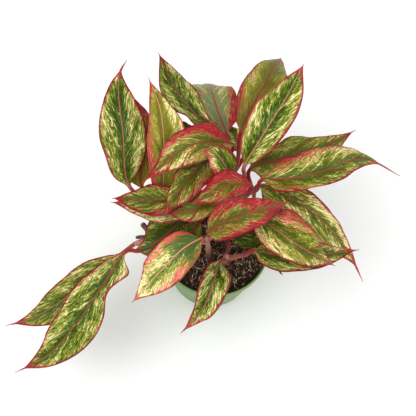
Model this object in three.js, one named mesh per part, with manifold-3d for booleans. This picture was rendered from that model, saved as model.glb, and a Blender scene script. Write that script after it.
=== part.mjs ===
import * as THREE from 'three';
import { mergeVertices } from 'three/addons/utils/BufferGeometryUtils.js';
import Module from 'manifold-3d';

// A potted Chinese evergreen with red-edged, cream-mottled leaves, in millimetres, +Z up.
// The origin is the centre of the pot's foot. Six rooted stems stand in plain holes in the soil,
// and every leaf is one body: its round leafstalk opens into a thin, folded and waved blade.

const wasm = await Module();
wasm.setup();

// ---- Driving dimensions ----

const POT_HEIGHT = 130;
const RIM_RADIUS = 77;
const FOOT_RADIUS = 59;
const POT_WALL = 1.8;
const FLOOR_THICKNESS = 3;
const COLLAR_HEIGHT = 17;
const COLLAR_STEP = 3;
const LIP_ROUND = 1.2;
const EDGE_ROUND = 1.5;
const DRAIN_RADIUS = 5;
const DRAIN_RING_RADIUS = 44;
const DRAIN_COUNT = 8;
const POT_SIDES = 56;

const GAP = 0.3;
const SOIL_EDGE_HEIGHT = 114;
const SOIL_SIDE_HEIGHT = 109;
const SOIL_DOME = 6;
const SOIL_RINGS = [1, 0.86, 0.7, 0.54, 0.38, 0.22, 0];
const SOIL_SIDES = 40;
const PLANTING_DEPTH = 52;
const UPRIGHT_BELOW = 14;
const UPRIGHT_ABOVE = 3;
const HOLE_CLEARANCE = 0.8;

const STEM_SIDES = 12;
const STEM_RINGS_ABOVE_SOIL = 14;
const RING_SCAR = 0.06;
const STEM_TAPER = 0.72;
const BLUNT_END = [[0.8, 0.4], [0.4, 0.7]];

const BLADE_THICKNESS = 0.8;
const MIDRIB_DEPTH = 1.6;
const STALK_RADIUS = 2.6;
const STALK_FOOT_SWELL = 1.25;
const STALK_MERGE = 0.1;
const STALK_REACH = 0.35;
const STALK_LEAN = 0.6;
const TIP_WIDTH = 1.8;
const MARGIN_CURL = 0.16;
const WAVE_COUNT = 2.6;
const PINCH_AT = 0.25;
const PINCH_SPAN = 0.1;
const EAR_AT = 0.1;
const EAR_SPAN = 0.06;
const LINE_STEPS = 60;

// The soil's lumps: how high each set of waves is, and how far apart they lie along X and along Y.
const SOIL_LUMPS = [{ height: 1.2, alongX: 33, alongY: 39 }, { height: 0.7, alongX: 57, alongY: 27 }];

// ---- The plant: each stem, and the leaves that grow on it ----
//
// plant: where the stem stands in the soil. path: the points that its axis passes through above it.
// at: how far up the stem, from 0 to 1, a leafstalk grows. side: the way in which it stands off, in
// degrees from +X. stubs: what is left of a cut side shoot and a cut leafstalk. blade: points along
// the midrib, from the blade's foot to its tip. width: across the widest place. A leaf that says no
// more is as usual: belly: where along the blade it is widest. taper: how sharply it narrows to its
// tip. drip: the share of its length that is a bare thin tip. bank: degrees by which the right-hand
// edge is lifted, seen from foot to tip. fold: degrees by which each half rises from the midrib.
// wave: height of the waves at the margin. phase: where along the margin they start, in radians.
// uneven: the share by which the right-hand half is the wider one. pinch: by how much, as a share, the
// left-hand half is drawn in near the foot. ear: how far that half bulges between foot and pinch.

const USUAL_LEAF = {
  belly: 0.42, taper: 1.35, drip: 0.02, bank: 0, fold: 12, wave: 2.5, phase: 0, uneven: 0, pinch: 0, ear: 0,
};

const STEMS = [
  {
    name: 'crown', plant: [20, 26], radius: 6.5,
    path: [[23, 33, 170], [27, 40, 236]],
    leaves: [
      { at: 0.95, side: 100, blade: [[22, 57, 270], [38, 86, 304], [59, 130, 322], [80, 195, 304]],
        width: 54, bank: 6, taper: 1.25, drip: 0.01, phase: 1, uneven: -0.08 },
      { at: 0.90, side: 0, blade: [[46, 43, 268], [86, 45, 286], [122, 60, 287], [153, 84, 274],
        [186, 98, 250], [228, 93, 226]],
        width: 58, bank: 12, belly: 0.36, taper: 1, drip: 0.16, fold: 14, phase: 2, uneven: -0.22 },
      { at: 0.75, side: 50, blade: [[30, 64, 242], [68, 79, 261], [115, 98, 264], [162, 142, 243]],
        width: 56, belly: 0.3, phase: 3, pinch: 0.3 },
      { at: 0.58, side: 10, blade: [[44, 51, 228], [98, 30, 242], [137, 11, 228], [160, 1, 202],
        [180, -11, 182], [202, -36, 158]],
        width: 55, belly: 0.36, taper: 1.1, drip: 0.1, phase: 4, uneven: 0.24 },
      { at: 0.80, side: -50, blade: [[48, 2, 252], [79, -25, 270], [115, -39, 260], [154, -42, 226]],
        width: 62, belly: 0.36, fold: 14, phase: 5, uneven: -0.1 },
      { at: 0.97, side: -70, blade: [[35, 35, 264], [9, 26, 284], [-13, 10, 285], [-38, -1, 266]],
        width: 40, fold: 14, phase: 0 },
      { at: 0.84, side: 170, blade: [[8, 39, 248], [0, 49, 277], [-15, 58, 296], [-35, 66, 290]],
        width: 38, belly: 0.5, phase: 1 },
      { at: 0.68, side: 215, blade: [[3, 26, 244], [-18, 9, 252], [-40, -5, 250], [-69, -8, 237]],
        width: 36, phase: 2 },
    ],
  },
  {
    name: 'back', plant: [-2, 44], radius: 6.5,
    path: [[-1, 54, 165], [0, 64, 218]],
    leaves: [
      { at: 0.95, side: 90, blade: [[5, 90, 254], [-22, 84, 272], [-56, 67, 277], [-102, 21, 258]],
        width: 57, belly: 0.37, taper: 1.6, fold: 24, phase: 3, uneven: -0.08 },
      { at: 0.80, side: 50, blade: [[12, 106, 258], [21, 132, 276], [35, 173, 276], [47, 219, 250],
        [56, 249, 214]], width: 55, belly: 0.38, taper: 1.2, phase: 4 },
      { at: 0.60, side: 100, blade: [[-5, 113, 232], [-20, 138, 247], [-32, 171, 237], [-39, 200, 201],
        [-43, 222, 157]], width: 68, bank: -10, belly: 0.32, fold: 6, wave: 5, phase: 5 },
      { at: 0.82, side: 130, blade: [[-25, 114, 253], [-44, 119, 263], [-75, 149, 265], [-110, 209, 255]],
        width: 44, phase: 0, pinch: 0.4 },
      { at: 0.75, side: 200, blade: [[-19, 71, 247], [-39, 43, 258], [-55, 16, 258], [-72, -14, 246]],
        width: 52, bank: -24, phase: 1, uneven: -0.1 },
      { at: 0.45, side: 60, blade: [[22, 102, 212], [10, 116, 220], [-4, 138, 216]], width: 32, phase: 2 },
      { at: 0.50, side: 130, blade: [[-46, 109, 222], [-61, 114, 230], [-80, 126, 228]], width: 22,
        phase: 3 },
    ],
  },
  {
    name: 'left', plant: [-32, 16], radius: 6,
    path: [[-33, 17, 145], [-35, 19, 172]],
    leaves: [
      { at: 0.40, side: 170, blade: [[-120, 35, 194], [-138, 89, 249], [-153, 148, 262], [-154, 175, 256],
        [-149, 195, 248]], width: 63, belly: 0.43, drip: 0.1, phase: 2, pinch: 0.12 },
      { at: 0.50, side: 90, blade: [[-104, 42, 178], [-112, 68, 200], [-129, 111, 214], [-152, 171, 206]],
        width: 60, belly: 0.56, taper: 0.9, phase: 3, ear: 7 },
      { at: 0.62, side: 150, blade: [[-76, 31, 190], [-78, 41, 219], [-82, 73, 253], [-93, 114, 280],
        [-116, 163, 270]], width: 57, bank: -20, phase: 4, uneven: 0.17, ear: 4 },
      { at: 0.95, side: 140, blade: [[-38, 22, 222], [-72, 13, 229], [-106, 11, 224], [-142, 14, 205]],
        width: 44, fold: 10, phase: 5 },
      { at: 0.80, side: 200, blade: [[-44, 14, 198], [-66, 5, 211], [-104, 10, 203], [-145, 16, 184]],
        width: 40, belly: 0.37, phase: 0, uneven: 0.1 },
      { at: 0.60, side: 230, blade: [[-46, 8, 180], [-63, -18, 192], [-83, -39, 193], [-105, -47, 187]],
        width: 58, phase: 1 },
      { at: 0.70, side: 290, blade: [[-24, 10, 178], [-29, 0, 178], [-38, -14, 164], [-49, -28, 146]],
        width: 30, phase: 2 },
    ],
  },
  {
    name: 'front', plant: [-6, -22], radius: 3.8,
    path: [[-8, -24, 170], [-12, -28, 222]],
    leaves: [
      { at: 0.97, side: 20, blade: [[-11, -30, 247], [8, -23, 282], [41, -12, 300], [85, 18, 274]],
        width: 50, belly: 0.36, fold: 18, phase: 3 },
      { at: 0.90, side: 220, blade: [[-18, -35, 240], [-38, -54, 252], [-64, -83, 232], [-96, -114, 176]],
        width: 55, belly: 0.38, phase: 4 },
    ],
  },
  {
    name: 'right', plant: [16, -26], radius: 5,
    path: [[17, -26, 140], [19, -26, 152]],
    leaves: [
      { at: 0.75, side: 250, blade: [[10, -35, 157], [5, -73, 180], [-3, -103, 166], [-15, -119, 146],
        [-29, -134, 128]], width: 39, belly: 0.36, taper: 1.2, drip: 0.05, phase: 5, uneven: -0.1 },
      { at: 0.90, side: 0, blade: [[49, -33, 213], [89, -40, 232], [139, -30, 232], [185, -11, 212]],
        width: 44, belly: 0.36, fold: 14, phase: 0 },
      { at: 0.70, side: 90, blade: [[18, -7, 170], [39, -2, 184], [61, 9, 186], [88, 20, 176]],
        width: 44, phase: 1 },
      { at: 0.35, side: 10, blade: [[58, -17, 162], [70, -27, 172], [83, -36, 172], [95, -43, 158]],
        width: 18, drip: 0.1, phase: 4 },
    ],
  },
  {
    name: 'trailing', plant: [-46, -16], radius: 5,
    path: [[-50, -17, 142], [-66, -19, 164], [-88, -24, 175], [-102, -34, 178]],
    stubs: [
      { axis: [[-85, -21, 174], [-91, -14, 180], [-98, -8, 183]], radius: 3.6 },
      { axis: [[-86, -23, 177], [-95, -25, 183], [-103, -28, 185]], radius: 2.2 },
    ],
    leaves: [
      { at: 0.92, side: 250, blade: [[-113, -48, 184], [-140, -103, 174], [-167, -149, 148],
        [-200, -186, 116], [-240, -210, 94]],
        width: 64, belly: 0.46, taper: 1.1, drip: 0.06, wave: 4, phase: 2, pinch: 0.6, ear: 9 },
      { at: 0.86, side: 210, blade: [[-117, -45, 170], [-152, -78, 163], [-192, -116, 138],
        [-227, -139, 120], [-263, -151, 104]], width: 53, belly: 0.46, drip: 0.05, phase: 3, uneven: -0.08 },
    ],
  },
];

// ---- Finishes ----

const finish = (color, roughness) => new THREE.MeshStandardMaterial({ color, roughness, metalness: 0 });
const POT_FINISH = finish(0x8fae8b, 0.5);
const SOIL_FINISH = finish(0x33231c, 0.95);
const STEM_FINISH = finish(0x9a6a58, 0.6);
const LEAF_FINISH = finish(0x6f8f3a, 0.45);

// ---- Solids ----

const toVector = (point) => new THREE.Vector3(...point);
const radians = THREE.MathUtils.degToRad;

function toManifold(geometry) {
  const bare = geometry.clone();
  bare.deleteAttribute('normal');
  bare.deleteAttribute('uv');
  const merged = mergeVertices(bare, 1e-4);
  return new wasm.Manifold(new wasm.Mesh({
    numProp: 3,
    vertProperties: Float32Array.from(merged.attributes.position.array),
    triVerts: Uint32Array.from(merged.index.array),
  }));
}

function fromManifold(solid) {
  const { vertProperties, triVerts } = solid.getMesh();
  const geometry = new THREE.BufferGeometry();
  geometry.setAttribute('position', new THREE.BufferAttribute(vertProperties, 3));
  geometry.setIndex(new THREE.BufferAttribute(triVerts, 1));
  return geometry;
}

// Closes a row of rings into one body. A ring's first half is its upper side and its second half
// its lower side, and both are split along matching diagonals, so a thin blade never crosses itself.
function loft(rings) {
  const count = rings[0].length;
  const upper = count / 2 - 1;
  const index = [];
  for (let i = 0; i < rings.length - 1; i++) {
    for (let j = 0; j < count; j++) {
      const a = i * count + j;
      const b = i * count + (j + 1) % count;
      const c = a + count;
      const d = b + count;
      index.push(...(j < upper ? [a, b, d, a, d, c] : [a, b, c, b, d, c]));
    }
  }
  const last = (rings.length - 1) * count;
  for (let j = 0; j < upper; j++) {
    const k = count - 1 - j;
    index.push(j, k, k - 1, j, k - 1, j + 1);
    index.push(last + j, last + k - 1, last + k, last + j, last + j + 1, last + k - 1);
  }
  const geometry = new THREE.BufferGeometry().setFromPoints(rings.flat());
  geometry.setIndex(index);
  return geometry;
}

// Points round a ring, counted along the upper side from left to right and back along the lower.
function ringAngles(count) {
  return Array.from({ length: count }, (_, j) => Math.PI - (j + 0.5) * 2 * Math.PI / count);
}

function addNamed(group, name, geometry, material) {
  const mesh = new THREE.Mesh(geometry, material);
  mesh.name = name;
  group.add(mesh);
}

// ---- Pot and soil ----

const wallRadius = (z) => THREE.MathUtils.mapLinear(z, 0, POT_HEIGHT - COLLAR_HEIGHT,
  FOOT_RADIUS, RIM_RADIUS - COLLAR_STEP);

function potSolid() {
  const underCollar = POT_HEIGHT - COLLAR_HEIGHT;
  const innerTop = RIM_RADIUS - POT_WALL;
  const profile = [
    [0, 0],
    [FOOT_RADIUS - EDGE_ROUND, 0],
    [FOOT_RADIUS, EDGE_ROUND],
    [wallRadius(underCollar), underCollar],
    [RIM_RADIUS, underCollar + EDGE_ROUND],
    [RIM_RADIUS, POT_HEIGHT - LIP_ROUND],
    [RIM_RADIUS - LIP_ROUND / 2, POT_HEIGHT],
    [innerTop, POT_HEIGHT],
    [innerTop, underCollar + COLLAR_STEP],
    [wallRadius(underCollar - POT_WALL) - POT_WALL, underCollar - POT_WALL],
    [wallRadius(FLOOR_THICKNESS) - POT_WALL, FLOOR_THICKNESS],
    [0, FLOOR_THICKNESS],
  ].map(([r, z]) => new THREE.Vector2(r, z));
  const shell = new THREE.LatheGeometry(profile, POT_SIDES).rotateX(Math.PI / 2);
  let pot = toManifold(shell);
  for (let i = 0; i < DRAIN_COUNT; i++) {
    const angle = (i + 0.5) * 2 * Math.PI / DRAIN_COUNT;
    const drain = new THREE.CylinderGeometry(DRAIN_RADIUS, DRAIN_RADIUS, 3 * FLOOR_THICKNESS, 16)
      .rotateX(Math.PI / 2)
      .translate(DRAIN_RING_RADIUS * Math.cos(angle), DRAIN_RING_RADIUS * Math.sin(angle), 0);
    pot = pot.subtract(toManifold(drain));
  }
  return fromManifold(pot);
}

function soilHeight(x, y) {
  const fromCentre = Math.hypot(x, y) / RIM_RADIUS;
  const smooth = SOIL_EDGE_HEIGHT + SOIL_DOME * (1 - fromCentre ** 2);
  const turn = 2 * Math.PI;
  return SOIL_LUMPS.reduce((height, lump) => height
    + lump.height * Math.sin(turn * x / lump.alongX) * Math.cos(turn * y / lump.alongY), smooth);
}

function soilSolid() {
  const bottom = FLOOR_THICKNESS + GAP;
  const inner = (z) => wallRadius(z) - POT_WALL - 2 * GAP;
  const topRadius = inner(SOIL_SIDE_HEIGHT);
  const profile = [
    [0, bottom],
    [inner(bottom), bottom],
    [topRadius, SOIL_SIDE_HEIGHT],
    ...SOIL_RINGS.map((share) => [share * topRadius, POT_HEIGHT]),
  ].map(([r, z]) => new THREE.Vector2(r, z));
  const body = new THREE.LatheGeometry(profile, SOIL_SIDES).rotateX(Math.PI / 2);
  // The rings of the top come down from the pot's rim to the uneven surface.
  const position = body.attributes.position;
  for (let i = 0; i < position.count; i++) {
    if (position.getZ(i) > SOIL_SIDE_HEIGHT + 1) {
      position.setZ(i, soilHeight(position.getX(i), position.getY(i)));
    }
  }
  let soil = toManifold(body);
  for (const stem of STEMS) {
    const radius = stem.radius + HOLE_CLEARANCE;
    const [x, y] = stem.plant;
    const floor = soilHeight(x, y) - PLANTING_DEPTH;
    const hole = new THREE.CylinderGeometry(radius, radius, 2 * PLANTING_DEPTH, 2 * STEM_SIDES)
      .rotateX(Math.PI / 2)
      .translate(x, y, floor + PLANTING_DEPTH);
    soil = soil.subtract(toManifold(hole));
  }
  return fromManifold(soil);
}

// ---- Stems ----

function stemCurve(stem) {
  const [x, y] = stem.plant;
  const surface = soilHeight(x, y);
  const bottom = surface - PLANTING_DEPTH + GAP;
  const rooted = [[x, y, bottom], [x, y, surface - UPRIGHT_BELOW], [x, y, surface + UPRIGHT_ABOVE]];
  return new THREE.CatmullRomCurve3([...rooted, ...stem.path].map(toVector), false, 'centripetal');
}

const stemRadius = (stem, u) => stem.radius * THREE.MathUtils.lerp(1, STEM_TAPER, u * u);

// The share of the stem's length that is hidden in the soil.
const buriedShare = (curve) => PLANTING_DEPTH / curve.getLength();

// A round body along a curve: one ring for each share of the curve's length, and a blunt end.
function roundBody(curve, shares, radiusAt) {
  const angles = ringAngles(STEM_SIDES);
  let side = new THREE.Vector3(1, 0, 0);
  const ringAt = (u, radius, push = 0) => {
    const along = curve.getTangentAt(u);
    const centre = curve.getPointAt(u).addScaledVector(along, push);
    side = side.clone().addScaledVector(along, -side.dot(along)).normalize();
    const normal = new THREE.Vector3().crossVectors(side, along);
    return angles.map((angle) => centre.clone()
      .addScaledVector(side, radius * Math.cos(angle))
      .addScaledVector(normal, radius * Math.sin(angle)));
  };
  const rings = shares.map((u, i) => ringAt(u, radiusAt(u, i)));
  const end = radiusAt(1, 0);
  return loft([...rings, ...BLUNT_END.map(([radius, push]) => ringAt(1, radius * end, push * end))]);
}

function stemSolid(stem) {
  const curve = stemCurve(stem);
  const buried = buriedShare(curve);
  const below = [0, buried / 2];
  const above = Array.from({ length: STEM_RINGS_ABOVE_SOIL + 1 },
    (_, i) => THREE.MathUtils.lerp(buried, 1, i / STEM_RINGS_ABOVE_SOIL));
  const shares = [...below, ...above];
  // Every second ring in the air is a leaf scar.
  const scarred = (u, i) => stemRadius(stem, u) * (i > below.length && i % 2 === 1 ? 1 + RING_SCAR : 1);
  const body = roundBody(curve, shares, scarred);
  if (!stem.stubs) return body;
  return fromManifold(stem.stubs.reduce((solid, stub) => {
    const axis = new THREE.CatmullRomCurve3(stub.axis.map(toVector));
    return solid.add(toManifold(roundBody(axis, [0, 0.5, 1], () => stub.radius)));
  }, toManifold(body)));
}

// ---- Leaves ----

const STALK_SHARES = [0, 0.3, 0.6, 0.85];
const BLADE_SHARES = [0, 0.04, 0.1, 0.18, 0.27, 0.37, 0.48, 0.59, 0.7, 0.8, 0.89, 0.96, 1];
const ACROSS = [-1, -0.5, 0, 0.5, 1];

// How far the two halves are folded up at the share t: less at the foot and nearly flat at the tip.
const foldShare = (t) => Math.sqrt(Math.sin(Math.PI * Math.min(1, 0.15 + 1.2 * t)));

// The half width at the share t of the blade's length, as a part of the greatest one.
function outline(leaf, t) {
  const basePower = leaf.taper * leaf.belly / (1 - leaf.belly);
  const raw = (share) => share ** basePower * (1 - share) ** leaf.taper;
  return raw(Math.min(1, t / (1 - leaf.drip))) / raw(leaf.belly);
}

// 1 at the place and falling off smoothly to both sides of it.
const bump = (t, place, span) => Math.exp(-(((t - place) / span) ** 2));

// Where the leafstalk starts on its stem, and the direction in which it stands off.
function stalkFoot(stem, leaf) {
  const curve = stemCurve(stem);
  const u = THREE.MathUtils.lerp(buriedShare(curve), 1, leaf.at);
  const axis = curve.getTangentAt(u);
  const outward = new THREE.Vector3(Math.cos(radians(leaf.side)), Math.sin(radians(leaf.side)), 0);
  outward.addScaledVector(axis, -outward.dot(axis)).normalize();
  const reach = stemRadius(stem, u) * (1 + RING_SCAR) + GAP;
  return { foot: curve.getPointAt(u).addScaledVector(outward, reach), outward, axis };
}

// The line from the stem along the leafstalk and the midrib, and the share of it that is stalk.
function leafLine(foot, outward, axis, blade) {
  const reach = STALK_REACH * foot.distanceTo(toVector(blade[0]));
  const middle = foot.clone().addScaledVector(outward, reach * STALK_LEAN).addScaledVector(axis, reach);
  const line = new THREE.CatmullRomCurve3([foot, middle, ...blade.map(toVector)]);
  line.arcLengthDivisions = LINE_STEPS * (blade.length + 1);
  const lengths = line.getLengths();
  return { line, stalkShare: lengths[2 * LINE_STEPS] / lengths.at(-1) };
}

function leafSolid(stem, leaf) {
  const { foot, outward, axis } = stalkFoot(stem, leaf);
  const { line, stalkShare } = leafLine(foot, outward, axis, leaf.blade);
  const heading = toVector(leaf.blade.at(-1)).sub(toVector(leaf.blade[0])).setZ(0).normalize();
  const flatSide = new THREE.Vector3().crossVectors(heading, new THREE.Vector3(0, 0, 1));
  const angles = ringAngles(2 * ACROSS.length);
  const across = (along, towards) => towards.clone()
    .addScaledVector(along, -towards.dot(along)).normalize();

  const bladeRings = BLADE_SHARES.map((t) => {
    const u = THREE.MathUtils.lerp(stalkShare, 1, t);
    const centre = line.getPointAt(u);
    const along = line.getTangentAt(u);
    const side = across(along, flatSide).applyAxisAngle(along, -radians(leaf.bank));
    const up = new THREE.Vector3().crossVectors(side, along);
    const open = outline(leaf, t);
    const half = Math.max(leaf.width / 2 * open, TIP_WIDTH / 2);
    const rise = radians(leaf.fold) * foldShare(t);
    const spread = THREE.MathUtils.smoothstep(t, 0, STALK_MERGE);
    const rib = MIDRIB_DEPTH * (1 - t);
    const leftHalf = half * (1 - leaf.uneven) * (1 - leaf.pinch * bump(t, PINCH_AT, PINCH_SPAN))
      + leaf.ear * bump(t, EAR_AT, EAR_SPAN);
    const surfacePoint = (s) => {
      const reach = s < 0 ? leftHalf : half * (1 + leaf.uneven);
      const turn = 2 * Math.PI * WAVE_COUNT * t + leaf.phase + s;
      const wave = leaf.wave * s * s * open * Math.sin(turn);
      const height = reach * (Math.abs(s) * Math.sin(rise) - MARGIN_CURL * s * s) + wave;
      return centre.clone().addScaledVector(side, s * reach * Math.cos(rise)).addScaledVector(up, height);
    };
    const top = ACROSS.map((s) => surfacePoint(s).addScaledVector(up, BLADE_THICKNESS / 2));
    const under = [...ACROSS].reverse().map((s) => surfacePoint(s)
      .addScaledVector(up, -BLADE_THICKNESS / 2 - (s === 0 ? rib : 0)));
    return [...top, ...under].map((point, j) => {
      const round = centre.clone()
        .addScaledVector(side, STALK_RADIUS * Math.cos(angles[j]))
        .addScaledVector(up, STALK_RADIUS * Math.sin(angles[j]));
      return round.lerp(point, spread);
    });
  });

  const bladeFoot = line.getTangentAt(stalkShare);
  let side = across(bladeFoot, flatSide).applyAxisAngle(bladeFoot, -radians(leaf.bank));
  const stalkRings = [...STALK_SHARES].reverse().map((t) => {
    const centre = line.getPointAt(t * stalkShare);
    const along = line.getTangentAt(t * stalkShare);
    side = across(along, side);
    const up = new THREE.Vector3().crossVectors(side, along);
    const radius = STALK_RADIUS * THREE.MathUtils.lerp(STALK_FOOT_SWELL, 1, t);
    return angles.map((angle) => {
      const point = centre.clone()
        .addScaledVector(side, radius * Math.cos(angle))
        .addScaledVector(up, radius * Math.sin(angle));
      // The foot is cut flat, so that it sits against the stem.
      const overhang = point.clone().sub(foot).dot(outward) / along.dot(outward);
      return t === 0 ? point.addScaledVector(along, -overhang) : point;
    });
  }).reverse();
  return loft([...stalkRings, ...bladeRings]);
}

// ---- Assembly ----

const plant = new THREE.Group();
addNamed(plant, 'pot', potSolid(), POT_FINISH);
addNamed(plant, 'soil', soilSolid(), SOIL_FINISH);
for (const stem of STEMS) {
  addNamed(plant, `${stem.name}_stem`, stemSolid(stem), STEM_FINISH);
  stem.leaves.forEach((leaf, index) => {
    const solid = leafSolid(stem, { ...USUAL_LEAF, ...leaf });
    addNamed(plant, `${stem.name}_leaf_${index + 1}`, solid, LEAF_FINISH);
  });
}

export default plant;
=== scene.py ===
"""A potted Chinese evergreen: six canes of red-edged, cream-mottled leaves in a sage green nursery pot.

Sizes are in metres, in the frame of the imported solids, with Z up and the foot of the pot at zero."""

import math
from types import SimpleNamespace

import bpy
import numpy as np
from mathutils import Matrix, Vector, noise


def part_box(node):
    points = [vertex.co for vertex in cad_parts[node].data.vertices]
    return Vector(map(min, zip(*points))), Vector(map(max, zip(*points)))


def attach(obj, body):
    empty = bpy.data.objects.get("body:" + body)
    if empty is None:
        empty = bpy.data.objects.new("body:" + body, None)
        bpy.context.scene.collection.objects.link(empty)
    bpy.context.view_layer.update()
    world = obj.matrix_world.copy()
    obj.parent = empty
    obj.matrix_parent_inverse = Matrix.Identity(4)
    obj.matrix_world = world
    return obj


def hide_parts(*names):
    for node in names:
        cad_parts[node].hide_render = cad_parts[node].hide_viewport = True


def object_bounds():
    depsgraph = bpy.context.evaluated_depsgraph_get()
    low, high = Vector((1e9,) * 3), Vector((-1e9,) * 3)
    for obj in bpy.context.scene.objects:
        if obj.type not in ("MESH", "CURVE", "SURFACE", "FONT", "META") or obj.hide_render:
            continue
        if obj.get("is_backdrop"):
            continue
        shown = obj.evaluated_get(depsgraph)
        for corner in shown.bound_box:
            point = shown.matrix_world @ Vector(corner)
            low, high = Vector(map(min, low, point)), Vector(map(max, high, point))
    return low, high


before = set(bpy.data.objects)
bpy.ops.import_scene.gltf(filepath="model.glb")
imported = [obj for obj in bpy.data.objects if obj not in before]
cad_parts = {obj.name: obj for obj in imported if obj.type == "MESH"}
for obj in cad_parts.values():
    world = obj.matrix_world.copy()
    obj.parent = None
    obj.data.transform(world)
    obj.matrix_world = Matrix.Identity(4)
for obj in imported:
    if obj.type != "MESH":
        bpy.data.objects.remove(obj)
cad_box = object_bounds()
scene = bpy.context.scene

# ---- Camera, light and floor ----
# The plant stands on a plain white table between two large soft lights, in a white room. It is seen
# steeply from above through a long lens, with the picture turned a little.

CAMERA_ELEVATION = math.radians(70)
CAMERA_ROLL = math.radians(8)
CAMERA_LENS = 85
SENSOR_WIDTH = 36
CAMERA_DISTANCE = 1.347
CAMERA_REACH = 20
CAMERA_AIM = Vector((-0.0157, 0.0411, 0.145))
PLANT_MIDDLE = Vector((0, 0, 0.15))
SOFT_BOX_SIZE = 1.8
KEY_POWER = 30
FILL_POWER = 14
ROOM_BRIGHTNESS = 0.68
FLOOR_SIZE = 6.0
FLOOR_WHITE = 0.95
FLOOR_ROUGHNESS = 0.8

view = Vector((0, math.cos(CAMERA_ELEVATION), -math.sin(CAMERA_ELEVATION)))
level_right = Vector((1, 0, 0))
level_up = level_right.cross(view)
camera_right = level_right * math.cos(CAMERA_ROLL) + level_up * math.sin(CAMERA_ROLL)
camera_up = level_up * math.cos(CAMERA_ROLL) - level_right * math.sin(CAMERA_ROLL)

camera = bpy.data.objects.new("camera", bpy.data.cameras.new("camera"))
camera.data.lens = CAMERA_LENS
camera.data.sensor_width = SENSOR_WIDTH
camera.data.clip_end = CAMERA_REACH
camera.matrix_world = Matrix.Translation(CAMERA_AIM - view * CAMERA_DISTANCE) @ Matrix(
    (camera_right, camera_up, -view)
).transposed().to_4x4()
scene.collection.objects.link(camera)
scene.camera = camera
scene.view_settings.view_transform = "Standard"


def add_light(name, place, power):
    """A square soft box at a place, turned to the middle of the plant."""
    lamp = bpy.data.lights.new(name, "AREA")
    lamp.shape = "SQUARE"
    lamp.size = SOFT_BOX_SIZE
    lamp.energy = power
    holder = bpy.data.objects.new(name, lamp)
    holder.location = place
    holder.rotation_euler = (PLANT_MIDDLE - Vector(place)).to_track_quat("-Z", "Y").to_euler()
    scene.collection.objects.link(holder)


add_light("key", (-0.9, -0.5, 2.0), KEY_POWER)
add_light("fill", (1.4, 0.6, 1.5), FILL_POWER)

world = bpy.data.worlds.new("white_room")
world.use_nodes = True
background = world.node_tree.nodes["Background"]
background.inputs["Color"].default_value = (1, 1, 1, 1)
background.inputs["Strength"].default_value = ROOM_BRIGHTNESS
scene.world = world

half_floor = FLOOR_SIZE / 2
floor_corners = [(x * half_floor, y * half_floor, 0) for x, y in ((-1, -1), (1, -1), (1, 1), (-1, 1))]
floor_mesh = bpy.data.meshes.new("floor")
floor_mesh.from_pydata(floor_corners, [], [(0, 1, 2, 3)])
floor = bpy.data.objects.new("floor", floor_mesh)
scene.collection.objects.link(floor)
floor_finish = bpy.data.materials.new("white_table")
floor_finish.use_nodes = True
floor_shader = floor_finish.node_tree.nodes["Principled BSDF"]
floor_shader.inputs["Base Color"].default_value = (FLOOR_WHITE, FLOOR_WHITE, FLOOR_WHITE, 1)
floor_shader.inputs["Roughness"].default_value = FLOOR_ROUGHNESS
floor_mesh.materials.append(floor_finish)
floor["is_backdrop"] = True

# ---- Pot ----
# A thin-walled nursery pot, injection-moulded in one piece of sage green polypropylene: a tapered
# body, a wider stepped collar with a rounded lip, and eight drain holes round the edge of its floor.

pot_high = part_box("pot")[1]
POT_HEIGHT = pot_high.z
RIM_RADIUS = pot_high.x
FOOT_RADIUS = 0.059
POT_WALL = 0.0018
FLOOR_THICKNESS = 0.003
COLLAR_HEIGHT = 0.017
COLLAR_STEP = 0.003
EDGE_ROUND = 0.0012
LIP_ROUND = 0.0008
DRAIN_RADIUS = 0.005
DRAIN_RING_RADIUS = 0.044
DRAIN_COUNT = 8
PUNCH_SIDES = 32
PUNCH_LENGTH = 0.02
POT_SIDES = 192
BEND_STEPS = 5
LIP_BAND = 0.0025
CLEAN_RIM = 0.012
CLEAN_DEPTH = 0.0004
SOILED_DEPTH = 0.0001


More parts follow.
